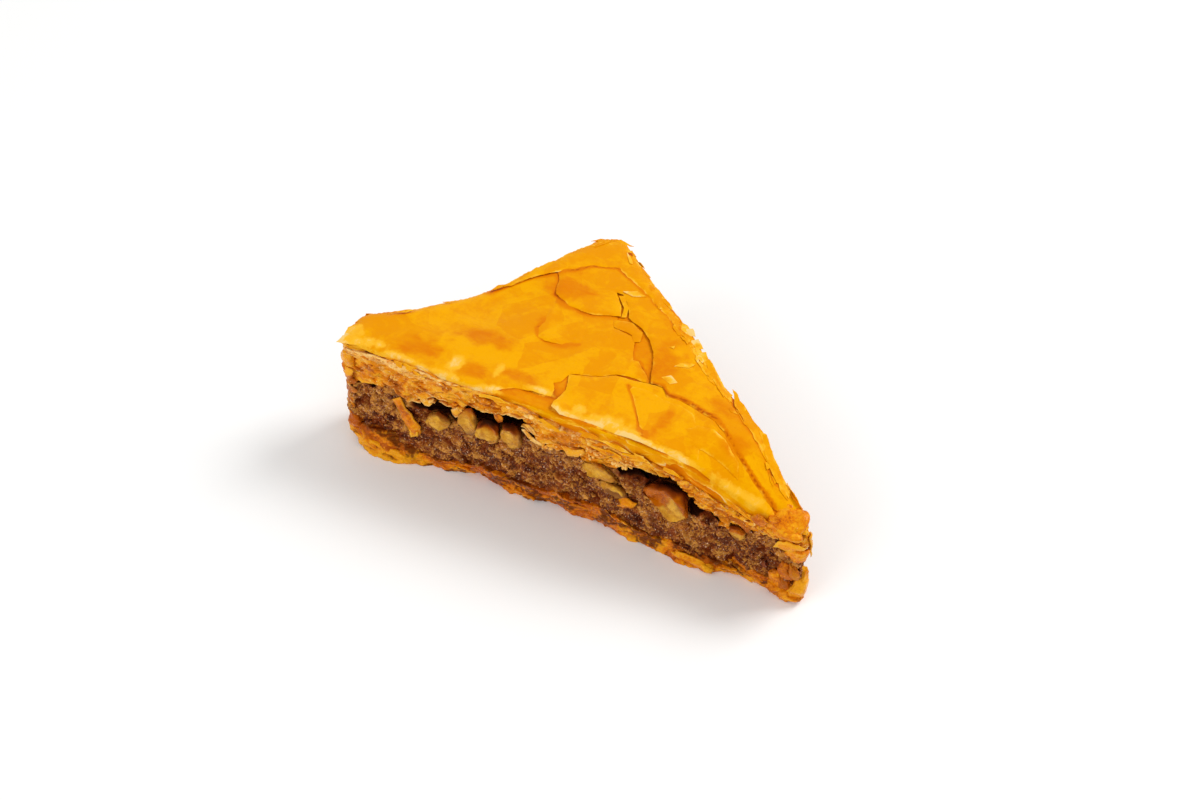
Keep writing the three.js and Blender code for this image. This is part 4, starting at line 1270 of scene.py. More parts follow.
# Soft blobs, as (way along the cut, z, proud, half sizes along, up and out, lean, tone, pale).
BLOBS = [
    (-43.4, 20.9, -1, (1.9, 2, 1.5), 0, 0.75, 0.55),
    (-43.9, 18, -0.9, (1.8, 1.5, 1.4), 0.1, 0.6, 0),
    (-42.8, 5.6, -0.3, (1.5, 1.6, 1.2), -0.9, 0.1, 0),
    (-38.6, 1.6, 0.9, (3, 1.2, 0.8), -0.3, 1, 0.1),
    (-33.6, 1.2, 0.9, (2.6, 0.9, 0.7), 0, 1, 0.1),
    (23.6, 1.6, 0.6, (3.4, 1, 0.8), -0.1, 0.7, 0.1),
    (27.4, 1.2, 0.8, (1.3, 0.7, 0.7), -0.3, 0.95, 0.4),
    (39.8, 16.6, -0.5, (2.2, 1.6, 0.9), -0.2, 0.65, 0),
    (42.4, 16.6, -0.9, (1.9, 1.9, 1.2), 0, 0.7, 0),
    (38.4, 17, -0.5, (1.3, 1.6, 0.7), 0, 0.5, 0),
    (43.4, 11.8, -0.3, (2, 1.8, 1.2), 0.3, 0.6, 0),
    (39.6, 4.4, 0, (1.3, 1.7, 0.8), 0.5, 0.3, 0.1),
    (41.3, 6.6, -0.2, (1.2, 2, 1), 0.5, 0.1, 0.1),
    (39.6, 2, 0.1, (1.5, 1.2, 0.9), 0, 0.4, 0.1),
    (41.4, 3.6, 0, (1.1, 1.8, 0.8), 0.3, -0.3, 0.1),
    (43.6, 2.6, -0.1, (1.6, 2.6, 1.1), -0.5, 0.7, 0.5),
    (41.8, 1.1, 0.2, (2.2, 1, 1), 0, 0.4, 0.2),
    (45.4, 5.2, -0.4, (1.2, 2.4, 1.1), -0.3, 0.8, 0.5),
    (42.9, 7, -0.2, (0.9, 1.8, 0.8), 0.4, -0.2, 0.3),
]
# The same on the top at the right tip, with (x, w) for the first two.
TOP_BLOBS = [
    (40.6, 1.2, -0.25, (2.5, 2.4, 0.8), 0.5, 0.75, 0),
    (41.9, 1.9, -0.35, (2, 2.3, 0.8), 0.2, 0.7, 0),
    (39.6, 2.8, -0.4, (1.3, 1.8, 0.6), 0.3, 0.7, 0),
    (41.6, -0.5, -0.8, (2.3, 1.1, 0.8), 0, 0.65, 0.1),
]
# Soft patches on the long cut, as (outline of (way along the cut, z), proud, bulge, tone, pale): the strip
# in the filling with its pale end, the amber bit, a flap, and at the tip a curl and a flake.
PATCHES = [
    ([(-34.2, 14.6), (-32.6, 15.6), (-30.4, 11.8), (-28.9, 9.8), (-29.2, 8), (-30.8, 7), (-31.7, 9.3),
      (-33, 12)], 0.1, 0.45, 0.5, 0.25),
    ([(-30.9, 8.6), (-29.2, 8.8), (-29.4, 7.6), (-30.7, 6.7)], 0.6, 0.1, 1, 0.9),
    ([(9, 8), (10.6, 10.6), (13, 9.6), (12.2, 8.4), (9.4, 7.3)], -0.3, 0.5, 0.55, 0),
    ([(34.4, 17.9), (35.6, 19), (37.8, 18), (37, 16.3), (34.9, 16.8)], 0.1, 0.4, 0.1, 0),
    ([(39, 12.6), (39.9, 14.6), (41.3, 15.5), (43.4, 15.1), (44.3, 14.2), (43.2, 13.9), (42.3, 13.4),
      (41, 12.8), (40.1, 13.2)], 0.5, 0.3, 1, 0.9),
    ([(44.8, 16.2), (46.4, 15.6), (46.9, 13), (46.4, 10.8), (45.4, 10.6), (45.6, 13.4)], 0.6, 0, 1, 0.5),
]


def make_folds(colours):
    """Amber folded leaf ends at both ends of the long cut, and soft lumps along the base."""
    pile = LeafPile("tone", "deep", "pale")
    for number, (at, z, proud, half, lean, tone, pale) in enumerate(BLOBS):
        lump(pile, at, z, proud, half, 820 + number, lean, uneven=0.45, tone=tone, pale=pale,
             deep=max(0.0, -tone))
    for number, (x, w, proud, half, lean, tone, pale) in enumerate(TOP_BLOBS):
        lump(pile, x, w, proud, half, 860 + number, lean, on_top=True, uneven=0.12, tone=tone, pale=pale)
    for number, (outline, proud, bulge, tone, pale) in enumerate(PATCHES):
        side_leaf(pile, outline, 0.3, proud, 870 + number, step=0.3, depth=0.25, bulge=bulge, crease=0.3,
                  tone=tone, pale_rim=0.25 + pale)
    return pile.piece("folded_ends", amber_finish(colours), "base_leaves")


def base_face(flat, height, foot, left, thickness):
    """Relief and marks of the base's side: crumbly leaves, folded at the left, with the foot proud."""
    layered, layer_marks = leaf_edges(flat, thickness, BASE_SEED)
    near, next_near, own = crumbs(flat * (0.7, 0.7, 1.1), 1.3, 240)
    seam = 1 - smooth(next_near - near, 0.0, 0.3)
    fold = rough(flat * (0.8, 0.8, 1.6), 1.7, 4, 270)
    proud = 0.35 * layered + 0.3 * rough(flat, 2.4, 4, 230) + 0.3 * (own - 0.5) - 0.2 * seam
    proud += 0.7 * left * fold + foot * (1 - height) ** 0.8 + 0.1
    tone = 0.45 + 0.45 * rough(flat, 3.0, 3, 250) + 0.3 * (own - 0.5) - 0.25 * height
    tone += left * (blend(0.75, -0.4, smooth(height, 0.3, 0.6)) + 1.1 * fold)
    soaked = smooth(1.3 * rough(flat * (0.8, 0.8, 1.2), 1.9, 4, 260) + height - 0.35, 0.0, 0.8)
    # Darker where syrup has soaked in, with painted shade in the seams and the leaves' grooves.
    deep = (0.8 * soaked + 0.3 * seam) * (1 - 0.75 * left) + 0.3 * layer_marks["deep"]
    # At the left: painted shade in the fold hollows, and darker along the top.
    deep += left * (0.6 * smooth(-fold, 0.15, 0.6) + 0.7 * smooth(height, 0.85, 1.0))
    pale = 0.25 * left * (1 - smooth(height, 0.2, 0.5))
    return proud, {"tone": tone, "deep": np.clip(deep, 0, 1), "pale": pale}


def make_base(sizes, colours):
    """The amber base leaves, with a foot that wanders and turns up at the left."""
    low = 0.05 + 0.35 * smooth(RIM.rough(5, 3, 211), 0.0, 0.7) + 2.2 * smooth(-RIM.x, 39.5, 44.6)
    high = RIM.line(BASE_LINE, BASE_LINE_BACK) + 0.6 * RIM.rough(2.6, 4, 212)
    foot = RIM.line(FOOT_LINE, FOOT_LINE_BACK)
    left = smooth(-RIM.x, 26, 34) * (RIM.w < 6)
    thickness = sizes.base_leaf / MM
    side, marks = side_rows(low, high, BASE_ROWS,
                            lambda flat, height: base_face(flat, height, foot, left, thickness))
    rings = layer_rings(side, low, high, lambda x, w: 0.0, lambda x, w: BASE_INSIDE)
    rings[:len(INNER_SHARES) - 2, :, 2] = 0.0
    points, faces, marks = closed_layer(rings, marks)
    pile = LeafPile("tone", "deep", "pale")
    pile.add(points, faces, **marks)
    rng = np.random.default_rng(210)
    for number in range(sizes.fringe_count // 3):
        at, column = RIM.anywhere(rng)
        share = rng.uniform(0.0, 0.8)
        reach = foot[column] * (1 - share) ** 0.8 + rng.uniform(0.2, 0.5)
        fringe(pile, at, blend(low[column] + 0.25, high[column], share), rng.uniform(1.5, 4.5), reach,
               rng.uniform(-0.1, 0.2), 0.2, 220 + number, tone=rng.uniform(0.1, 0.9), pale=0.1)
    return pile.piece("base_leaves", amber_finish(colours), "base_leaves", replaces=["filo_base"])


# ---------- walnut


FILLING_SEED = 310
# The outlines of the walnut pieces on the long cut, as (x, z).
NUT_OUTLINES = [
    [(-27.9, 12.3), (-26.9, 14.4), (-25, 15.5), (-23.4, 15), (-22.5, 13.8), (-23.1, 12.5), (-24.8, 11.4),
     (-26.4, 10.3), (-27.6, 10.6)],
    [(-21.5, 15.2), (-20.9, 17.2), (-19.9, 18.6), (-18.5, 19.3), (-17.8, 18), (-17.2, 16.4), (-17.3, 13.8),
     (-18.4, 12.2), (-19.8, 12.4), (-20.9, 13.6)],
    [(-17.4, 15.2), (-17, 17), (-15.7, 18.2), (-14.2, 18.5), (-13, 17.8), (-12.7, 15.6), (-13.5, 13.6),
     (-15.4, 13), (-16.9, 13.6)],
    [(-12.7, 17), (-11.8, 18.8), (-9.9, 19.4), (-8.8, 17.6), (-8.9, 14.6), (-10.6, 12.9), (-12.6, 14.4)],
    [(2.8, 15), (3.2, 16.2), (4.7, 17.2), (6.6, 17.3), (8.5, 15.9), (9.8, 14.2), (9.3, 12.9), (7.4, 12.9),
     (5.7, 13.4), (4, 13.9)],
    [(6, 12.6), (7.2, 13.4), (9.4, 13), (10.9, 12.2), (11.2, 10.6), (9.4, 10), (7.4, 10.6), (6.2, 11.6)],
    [(14.8, 15), (16.1, 16.7), (17.7, 18), (19.9, 18.7), (21.8, 18), (23.1, 15.9), (23.2, 11.8), (21.5, 9.6),
     (19.4, 8.9), (17.9, 10.6), (16.6, 12.4), (15, 13.7)],
    [(30.5, 12.1), (31, 13.6), (32.3, 13.9), (33.7, 13), (33.6, 11.4), (32.2, 10.1), (31, 10.7)],
]
# How much skin each of them still has, and how strong the painted shade from the hollow over it is.
NUT_TOPS = [
    (-0.5, 0.6), (-0.05, 0.5), (0.1, 1), (-0.15, 0.9), (-0.6, 0.1), (-0.6, 0.1), (0, 1), (0.3, 0.6),
    (-0.4, 0.4), (0.35, 0.6), (-0.2, 0.15), (0.15, 0.6), (-0.6, 0.3),
]


class Nut:
    """Where a walnut piece lies: its centre, the ways along and out of its cut, and its outline there."""

    def __init__(self, node, outline):
        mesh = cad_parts[node].data
        points = np.array([v.co for v in mesh.vertices]) / MM
        self.node = node
        self.centre = (points.min(0) + points.max(0)) / 2
        nearest = np.argmin(np.linalg.norm(RIM.xy - self.centre[:2], axis=1))
        self.out = np.array([*RIM.out[nearest], 0.0])
        self.along = np.array([-self.out[1], self.out[0], 0.0])
        self.depth = np.abs((points - self.centre) @ self.out).max()
        self.turns = np.linspace(-np.pi, np.pi, 91)
        ways = np.column_stack([np.cos(self.turns), np.sin(self.turns)])
        self.lean = np.zeros(2)
        if outline:
            corners = np.array(outline) - self.centre[[0, 2]]
            self.reach = np.array([self.crossing(way, corners) for way in ways])
            self.lean = np.array([0.25, 0.65])
            self.centre = self.centre - 0.2 * np.array([self.lean[0], 0.0, self.lean[1]])
        else:
            flat = np.column_stack([(points - self.centre) @ self.along, points[:, 2] - self.centre[2]])
            self.reach = (flat @ ways.T).max(0)

    @staticmethod
    def crossing(way, corners):
        """How far a ray from the middle runs to the outline."""
        ahead = np.roll(corners, -1, axis=0) - corners
        across = way[0] * ahead[:, 1] - way[1] * ahead[:, 0]
        across = np.where(np.abs(across) < 1e-9, 1e-9, across)
        far = (corners[:, 0] * ahead[:, 1] - corners[:, 1] * ahead[:, 0]) / across
        share = (corners[:, 0] * way[1] - corners[:, 1] * way[0]) / across
        return far[(share >= -1e-6) & (share <= 1 + 1e-6) & (far > 0)].max()

    def closeness(self, points):
        """How far points are from the piece's middle on its cut face, in its own reach."""
        apart = points - self.centre
        u, v = apart @ self.along, apart[..., 2]
        close = np.hypot(u, v) / np.interp(np.arctan2(v, u), self.turns, self.reach)
        return close + 9.0 * (np.abs(apart @ self.out) > 5)


NUT_NODES = sorted(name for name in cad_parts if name.startswith("walnut_piece"))
NUTS = [Nut(node, outline) for node, outline in itertools.zip_longest(NUT_NODES, NUT_OUTLINES)]


def filling_face(flat, height, size, gap):
    """Relief and marks of the filling's face: crumbs of three sizes, pits, a hole at the tip, a wet place
    left of the largest walnut piece, and room round each piece. Painted shade darkens the seams, pits,
    hole, moats over the pieces and the top under the hollows."""
    x, w, z = flat[:, 0], flat[:, 1] - FRONT, flat[:, 2]
    squashed = (flat + 0.45 * flat[:, :1] * (0, 0, 1)) * (0.62, 0.62, 1.3)
    bent = squashed + 0.5 * np.stack([waves(squashed, 1.6, 300 + k) for k in range(3)], -1)
    big, big_next, big_own = crumbs(bent, size * 2.0, 305)
    near, next_near, own = crumbs(bent, size, FILLING_SEED)
    fine, fine_next, fine_own = crumbs(bent, size * 0.45, 320)
    chopped = (big_own > 0.66) * smooth(big_next - big, 0.0, 0.4)
    seam = 1 - smooth(next_near - near, 0.0, 0.35)
    fine_seam = 1 - smooth(fine_next - fine, 0.0, 0.35)
    patch = rough(flat * (0.7, 0.7, 1.2), 3.4, 3, 335)
    pit = smooth(rough(flat, 2.4, 3, 340), 0.38, 0.65)
    hole = np.exp(-((np.hypot(x - 40.6, (z - 10.7) / 1.4) / 0.8) ** 2)) * (w < 1)
    wet = np.exp(-(((x - 12.8) / 2.4) ** 2) - ((z - 15.2) / 2.6) ** 2) * (w < 1)
    proud = 0.3 * rough(flat, 5.5, 3, 330) - 0.45 + 0.3 * patch + 0.22 * rough(flat, 0.8, 3, 345)
    proud += 0.46 * (own - 0.5) - 0.26 * seam + 0.4 * (fine_own - 0.5) - 0.16 * fine_seam + 0.35 * chopped
    proud += 0.35 * smooth(np.abs(x), 41.0, 43.5) - 0.5 * pit - 1.6 * hole
    grain = 0.42 + 0.35 * (own - 0.5) + 0.5 * (fine_own - 0.5) + 0.5 * patch + 0.35 * chopped
    grain += 0.32 * smooth(x, 31, 38) + 0.4 * (height - 0.5)
    # Painted shade in the seams, pits and hole; the wet place is darker syrup.
    deep = np.clip(0.25 * seam + 0.2 * fine_seam + 0.3 * pit + hole + 0.3 * wet, 0, 1)
    for nut, (_, shade) in zip(NUTS, NUT_TOPS):
        close = nut.closeness(flat)
        upper = smooth(z - nut.centre[2], -0.6, 1.4)
        moat = np.exp(-(((close - 1.05) / 0.12) ** 2))
        trench = blend(0.3, -0.5 * shade, smooth(shade, 0.1, 0.4))
        proud += moat * blend(0.3, trench, upper) - blend(0.1, shade, upper) * (close < 0.97)
        # Painted shade in the moat over a piece that a hollow stands over.
        deep = np.maximum(deep, moat * shade * upper)
        grain += 0.35 * (1 - upper) * np.exp(-(((close - 1.15) / 0.4) ** 2))
    # Painted shade on the top rows under the hollows.
    deep = np.maximum(deep, gap * smooth(height, 0.9, 1.0))
    return proud, {"grain": np.clip(grain, 0, 1), "deep": deep}


def make_filling(sizes, colours):
    """The ground walnut, with a lumpy crumbly face all round."""
    low = RIM.line(BASE_LINE, BASE_LINE_BACK) - 0.9
    floor = RIM.line(FLOOR_LINE, FLOOR_LINE_BACK)
    gap = smooth(RIM.line(ROOF_LINE, ROOF_LINE_BACK) - floor, 0.4, 1.4)
    rows = int(np.median(floor - low) / sizes.crumb_step * MM)
    size = sizes.crumb_size / MM
    side, marks = side_rows(low, floor - 0.45 * gap, rows,
                            lambda flat, height: filling_face(flat, height, size, gap))
    rings = layer_rings(side, low, side[-1, :, 2], lambda x, w: BASE_INSIDE - 0.35,
                        lambda x, w: FILLING_INSIDE - 0.1)
    count = len(INNER_SHARES)
    for ring in rings[-count:]:
        near, next_near, own = crumbs(ring, size, FILLING_SEED)
        ring[:, 2] += 0.5 * (own - 0.5) * smooth(next_near - near, 0, 0.4)
    points, faces, marks = closed_layer(rings, marks)
    # The top, under the stack, is painted in full shade.
    marks["deep"][-count * RIM.count:] = 1.0
    return make_piece("ground_walnut", points, faces, marks, filling_finish(colours), "ground_walnut",
                      replaces=["walnut_filling"])


LARGEST_NUT = 6  # its place in the list of pieces
# The broken face of the largest piece, as (x, z), and the creases in it; the rest of it has its skin.
BROKEN_FACE = [
    (17.2, 11.9), (18.9, 12.7), (19.3, 14.2), (20, 16.5), (21, 15.8), (22, 14.3), (22.7, 12.8), (22.9, 11.2),
    (21.5, 9.6), (19.6, 8.8), (18.1, 10.3),
]
BROKEN_CREASES = [
    [(17.6, 12.4), (19, 12.5), (20.6, 11.8), (22.4, 11.6)],
    [(20, 15.4), (21, 13.6), (22.2, 12.4)],
    [(15.2, 14), (16.7, 13.4), (18, 12.9)],
]


def nut_surface(nut, number, seed, points):
    """A ball's points as a lobed chunk in its place, the ball's third axis looking out of the cut, and how
    high on the piece each lies, at most 1."""
    sideways, up, ahead = points.T
    turn, flat = np.arctan2(up, sideways), np.hypot(sideways, up)
    uneven = 0.13 if number < len(NUT_OUTLINES) else 0.32
    reach = np.interp(turn, nut.turns, nut.reach) * flat**0.62 * (1 + uneven * rough(points, 0.9, 4, seed))
    u, v = reach * np.cos(turn), reach * np.sin(turn)
    folds = 1 - np.abs(waves(points * (1, 1.5, 0.5), 0.75, seed + 1))
    near, next_near, own = crumbs(points, 0.75, seed + 4)
    facets = (own - 0.5) * smooth(next_near - near, 0.0, 0.35)
    relief = 0.26 * rough(points, 0.7, 4, seed + 2) + 0.16 * (folds - 0.7) + 0.4 * facets
    depth = 0.6 + np.where(ahead > 0, 0.34 * smooth(ahead, 0, 0.7), -1.6 * np.abs(ahead) ** 0.8)
    depth += smooth(ahead, -0.2, 0.4) * relief
    sunk = 0.2 if NUT_TOPS[number][1] < 0.2 else 0.0
    depth = (depth - sunk) * nut.depth
    back = np.maximum(0.6 * nut.depth - depth, 0)
    placed = nut.centre + (u - nut.lean[0] * back)[:, None] * nut.along + depth[:, None] * nut.out
    placed[:, 2] += v - nut.lean[1] * back
    placed -= 0.5 * (smooth(-v / nut.reach.mean(), 0.1, 0.9) * (ahead > 0))[:, None] * nut.out
    return placed, v / v.max()


def make_nut(nut, number, shape, material):
    """One walnut piece, brown over its top and greyer at its foot. Painted shade darkens its back, its top
    under a hollow and the creases of the largest piece.
    """
    points, faces = shape
    skins, shade = NUT_TOPS[number]
    seed = 400 + 7 * number
    placed, rise = nut_surface(nut, number, seed, points)
    rise = rise + 0.25 * rough(points, 0.7, 4, seed + 3)
    border = smooth(np.hypot(points[:, 0], points[:, 1]), 0.7, 1.0)
    flesh = 1 - smooth(rise, 0.15 - skins, 0.85 - skins)
    low = np.maximum(smooth(-rise, 0.1, 1.0), 0.7 * border * smooth(points[:, 2], -0.2, 0.4))
    if number == LARGEST_NUT:
        on_cut = placed[:, [0, 2]] + 0.2 * nut.lean
        face = np.array(BROKEN_FACE)
        flesh = smooth(to_outline(on_cut, face) * np.where(inside(on_cut, face), 1, -1), -0.3, 0.2)
        crease = max_near(on_cut, BROKEN_CREASES, 0.4)
        placed -= ((0.3 * flesh + 0.35 * crease)[:, None]) * nut.out
        # Painted shade in the creases.
        flesh -= 0.3 * crease
        low = 0.3 * crease
    # Painted shade on the hidden back, over the top under a hollow, and along the upper rim.
    hidden = smooth(-points[:, 2], -0.1, 0.55) * smooth(shade, 0.1, 0.5)
    edge = smooth(np.hypot(points[:, 0], points[:, 1]), 0.8, 1.0) * smooth(rise, -0.2, 0.5)
    deep = np.max([hidden, shade * smooth(rise, 0.35, 1.05), 0.6 * shade * edge], axis=0)
    marks = {"flesh": flesh, "low": low, "deep": deep}
    name = nut.node.replace("piece", "chunk")
    return make_piece(name, placed, faces, marks, material, "walnut", replaces=[nut.node], sharp=60)


def make_nuts(colours):
    """The larger walnut pieces at the cuts."""
    material = nut_finish(colours)
    shape = ball(4)
    return [make_nut(nut, k, shape, material) for k, nut in enumerate(NUTS)]


# Medium bits of nut on the long cut, as (x, z, half width, half height, paleness).
CHOPPED = [
    (36.4, 14.2, 1.9, 1.3, 0.95), (-35.4, 16.2, 1.8, 0.9, 1.1), (-15, 12.6, 1.2, 0.8, 0.7),
    (-20, 7.4, 1.5, 1, 0.35), (7.4, 12.6, 1.3, 0.8, 0.8), (11, 13.4, 1.4, 1, 0.7), (36, 13, 1.3, 0.8, 0.6),
    (25.3, 5.3, 1.5, 0.9, 0.5), (-36.8, 15.6, 1.6, 0.9, 0.9), (-9.2, 8.2, 1.4, 1, 0.5),
    (32.4, 11.4, 1.3, 0.9, 0.8), (-38.4, 11.4, 1.3, 0.9, 0.6), (-24.5, 5.4, 1.4, 0.8, 0.6),
    (-2.6, 13.6, 1.2, 0.9, 0.7), (-0.4, 9, 1.4, 0.9, 0.4), (14.8, 7.4, 1.4, 0.9, 0.5),
    (-30.5, 10.2, 1.2, 0.8, 0.6),
]


def crumb_spots(rng, count):
    """Where the small bits lie, as (way round, z, half width, half height, paleness)."""
    low = RIM.line(BASE_LINE, BASE_LINE_BACK)
    high = RIM.line(FLOOR_LINE, FLOOR_LINE_BACK)
    spots = [(RIM.middle + x, *rest) for x, *rest in CHOPPED]
    for _ in range(count):
        at, column = RIM.anywhere(rng)
        size = 0.25 + 0.6 * rng.random() ** 2
        z = blend(low[column] + 0.4, high[column] - 0.5, rng.random())
        spots.append((at, z, size * rng.uniform(1, 2.4), size * rng.uniform(0.6, 1), rng.uniform(0.0, 1.0)))
    return spots


def chipped(rng, shape):
    """A small bit with four flat broken faces."""
    for _ in range(4):
        normal = rng.normal(size=3)
        normal /= np.linalg.norm(normal)
        over = np.maximum(shape @ normal - rng.uniform(0.4, 0.8), 0)
        shape = shape - over[:, None] * normal
    return shape


def make_crumbs(sizes, colours):
    """Small broken bits of nut, half sunk in the filling's face."""
    pile = LeafPile("grain", "deep")
    rng = np.random.default_rng(500)
    points, faces = ball(3)
    for number, (at, z, half_x, half_z, grain) in enumerate(crumb_spots(rng, sizes.crumb_count)):
        centre, out = RIM.place(at, z, -half_z - rng.uniform(0.05, 0.3))
        out = np.array([*out, 0.0])
        if any(nut.closeness(centre[None])[0] < (1.2 if z > nut.centre[2] else 0.85) for nut in NUTS):
            continue
        shape = chipped(rng, points * (1 + 0.3 * rough(points, 0.9, 3, 510 + number))[:, None])
        tilt = rng.normal(-0.3, 0.3)
        along = np.array([-out[1], out[0], 0.0]) * math.cos(tilt) + np.array([0, 0, math.sin(tilt)])
        axes = np.array([along, np.cross(along, -out), out])
        placed = (shape * (half_x, half_z, max(half_x, half_z))) @ axes + centre
        pile.add(placed, faces.tolist(), grain=grain)
    return pile.piece("nut_crumbs", filling_finish(colours), "ground_walnut", sharp=35)


# ---------- stage


FLOOR_HALF = 1.5  # metres from the middle to the floor's edges
CAMERA_TARGET = (2.957, -14.354, 25.0)  # millimetres
CAMERA_AZIMUTH, CAMERA_ELEVATION, CAMERA_DISTANCE = math.radians(25.7), math.radians(47), 0.45
CAMERA_LENS, CAMERA_SENSOR = 78.98, 36.0
# The soft lamps, as (name, place, width) in metres: from behind on the right, and on the long cut.
LAMPS = [("key light", (0.30, 0.34, 0.52), 0.30), ("fill light", (-0.25, -0.55, 0.35), 0.5)]


def looking(back):
    """The turn of a camera or lamp that looks against the way back."""
    return (-Vector(back)).to_track_quat("-Z", "Y").to_euler()


def make_stage(look):
    """A pale floor, soft light from behind on the right and a camera before the long cut."""
    floor_mesh = bpy.data.meshes.new("floor")
    corners = [(x * FLOOR_HALF, y * FLOOR_HALF, 0) for x, y in ((-1, -1), (1, -1), (1, 1), (-1, 1))]
    floor_mesh.from_pydata(corners, [], [(0, 1, 2, 3)])
    finish = Finish("pale floor")
    finish.set(Base_Color=look.floor, Roughness=0.9, Specular_IOR_Level=0.1)
    floor_mesh.materials.append(finish.material)
    add_to_scene("floor", floor_mesh)

    aside, rise = CAMERA_AZIMUTH, CAMERA_ELEVATION
    back = Vector((math.sin(aside) * math.cos(rise), -math.cos(aside) * math.cos(rise), math.sin(rise)))
    camera = add_to_scene("camera", bpy.data.cameras.new("camera"))
    camera.data.lens, camera.data.sensor_width = CAMERA_LENS, CAMERA_SENSOR
    camera.data.clip_start, camera.data.clip_end = 0.01, 10
    camera.location = Vector(CAMERA_TARGET) * MM + back * CAMERA_DISTANCE
    camera.rotation_euler = looking(back)
    bpy.context.scene.camera = camera

    for (name, place, width), power in zip(LAMPS, (look.key_power, look.fill_power)):
        light = bpy.data.lights.new(name, "AREA")
        light.size, light.energy = width, power
        lamp = add_to_scene(name, light)
        lamp.location = place
        lamp.rotation_euler = looking(place)

    world = bpy.data.worlds.new("soft room")
    world.use_nodes = True
    background = world.node_tree.nodes["Background"]
    background.inputs["Color"].default_value = (1, 1, 1, 1)
    background.inputs["Strength"].default_value = look.room
    bpy.context.scene.world = world
    bpy.context.scene.view_settings.view_transform = "Standard"


# ---------- settings, operators and panel


def length(name, description, default):
    return bpy.props.FloatProperty(name=name, description=description, default=default * MM, unit="LENGTH",
                                   min=0.0, precision=5)


def amount(name, description, default):
    return bpy.props.IntProperty(name=name, description=description, default=default, min=0)


def power(name, description, default):
    return bpy.props.FloatProperty(name=name, description=description, default=default, unit="POWER")


def colour(name, description, default):
    return bpy.props.FloatVectorProperty(name=name, description=description, subtype="COLOR_GAMMA", size=3,
                                         default=[v / 255 for v in default], min=0.0, max=1.0)


class BaklavaSizes(bpy.types.PropertyGroup):
    leaf_thickness: length("Leaf thickness", "Thickness of one crisp leaf", 0.11)
    crumb_size: length("Crumb size", "Width of a crumb of ground walnut", 1.35)
    crumb_step: length("Crumb step", "Height between two rows of the filling's mesh", 0.24)
    soaked_leaf: length("Soaked leaf", "Thickness of one leaf of the soaked stack", 0.8)
    base_leaf: length("Base leaf", "Thickness of one leaf of the base", 0.95)
    fringe_count: amount("Torn ends", "Torn leaf ends round the soaked stack", 80)
    smear_count: amount("Smeared flakes", "Flakes smeared over the crisp leaves' edges", 70)
    blob_count: amount("Syrup blobs", "Soft blobs in the soaked stack", 170)
    flake_count: amount("Rim flakes", "Loose flakes round the top", 70)
    crumb_count: amount("Crumbs", "Loose bits of nut in the filling", 300)


class BaklavaColours(bpy.types.PropertyGroup):
    gloss: colour("Gloss", "Tint of the leaves' and nuts' shine", (255, 194, 52))
    gold: colour("Gold", "Baked leaf", (231, 147, 0))
    bright_gold: colour("Bright gold", "Baked leaf where it is thin", (240, 167, 0))
    shine: colour("Shine", "Tint of the wet shine inside", (255, 200, 108))
    # Toast and Scorch also colour the painted shadow beside the edges of the leaves above.
    toast: colour("Toast", "Baked leaf where it is stuck down", (222, 124, 0))
    scorch_and_edge_shadow: colour("Scorch", "Baked leaf under the edge of another", (184, 84, 4))
    # Butter and Cream also colour the pale rims, which are partly a painted highlight.
    butter: colour("Butter", "Pale lifted leaf", (246, 182, 40))
    cream: colour("Cream", "Broken leaf edges", (244, 204, 122))
    soaked_tan: colour("Soaked tan", "Soaked leaf", (224, 128, 2))
    soaked_light: colour("Soaked light", "Soaked leaf with butter", (242, 168, 36))
    # Soaked cream also paints glints and highlights on the stack.
    soaked_cream_and_glint: colour("Soaked cream", "Torn dry ends of soaked leaf", (252, 208, 128))
    soaked_khaki: colour("Soaked khaki", "Soaked leaf, dull", (204, 134, 34))
    soaked_red: colour("Soaked red", "Soaked leaf near the filling", (172, 84, 10))
    # Soaked dark is mostly painted shade, with dark syrup in the grooves.
    soaked_shade_and_syrup: colour("Soaked dark", "Syrup between soaked leaves", (84, 28, 6))
    ground_dark: colour("Ground dark", "Skins in the filling", (72, 24, 20))
    ground_brown: colour("Ground brown", "Filling", (154, 80, 32))
    ground_pale: colour("Ground pale", "Nut flesh in the filling", (214, 146, 62))
    ground_rust: colour("Ground rust", "Syrup-stained filling", (164, 70, 14))
    ground_plum: colour("Ground plum", "Wet skins in the filling", (104, 50, 42))
    # Ground spark paints glints; Ground black and Hollow paint the shade in hollows, gaps and pits.
    painted_glint: colour("Ground spark", "Pale specks in the filling", (244, 200, 164))
    painted_shade_black: colour("Ground black", "Gaps in the filling", (30, 8, 5))
    hollow: colour("Hollow", "Syrup where the light barely reaches", (112, 40, 8))
    flesh_pale: colour("Flesh pale", "Broken walnut", (228, 170, 54))
    flesh_tan: colour("Flesh tan", "Broken walnut, wetter", (190, 122, 32))
    flesh_low: colour("Flesh foot", "Broken walnut under syrup", (134, 82, 44))
    skin_light: colour("Skin light", "Walnut skin", (190, 96, 0))
    skin_dark: colour("Skin dark", "Walnut skin in its folds", (146, 62, 2))
    amber: colour("Amber", "Base leaf", (224, 122, 6))
    amber_light: colour("Amber light", "Base leaf where it is thin", (240, 158, 18))
    amber_deep: colour("Amber deep", "Base leaf with syrup", (182, 82, 8))
    # Amber dark is dark syrup and painted shade.
    amber_shade_and_syrup: colour("Amber dark", "Syrup between base leaves", (96, 30, 4))


class BaklavaStage(bpy.types.PropertyGroup):
    floor: colour("Floor", "Pale floor", (251, 251, 250))
    room: bpy.props.FloatProperty(name="Room light", description="Even light from all round", default=0.62)
    key_power: power("Key power", "Light from behind on the right", 2.6)
    fill_power: power("Fill power", "Light on the long cut", 1.4)


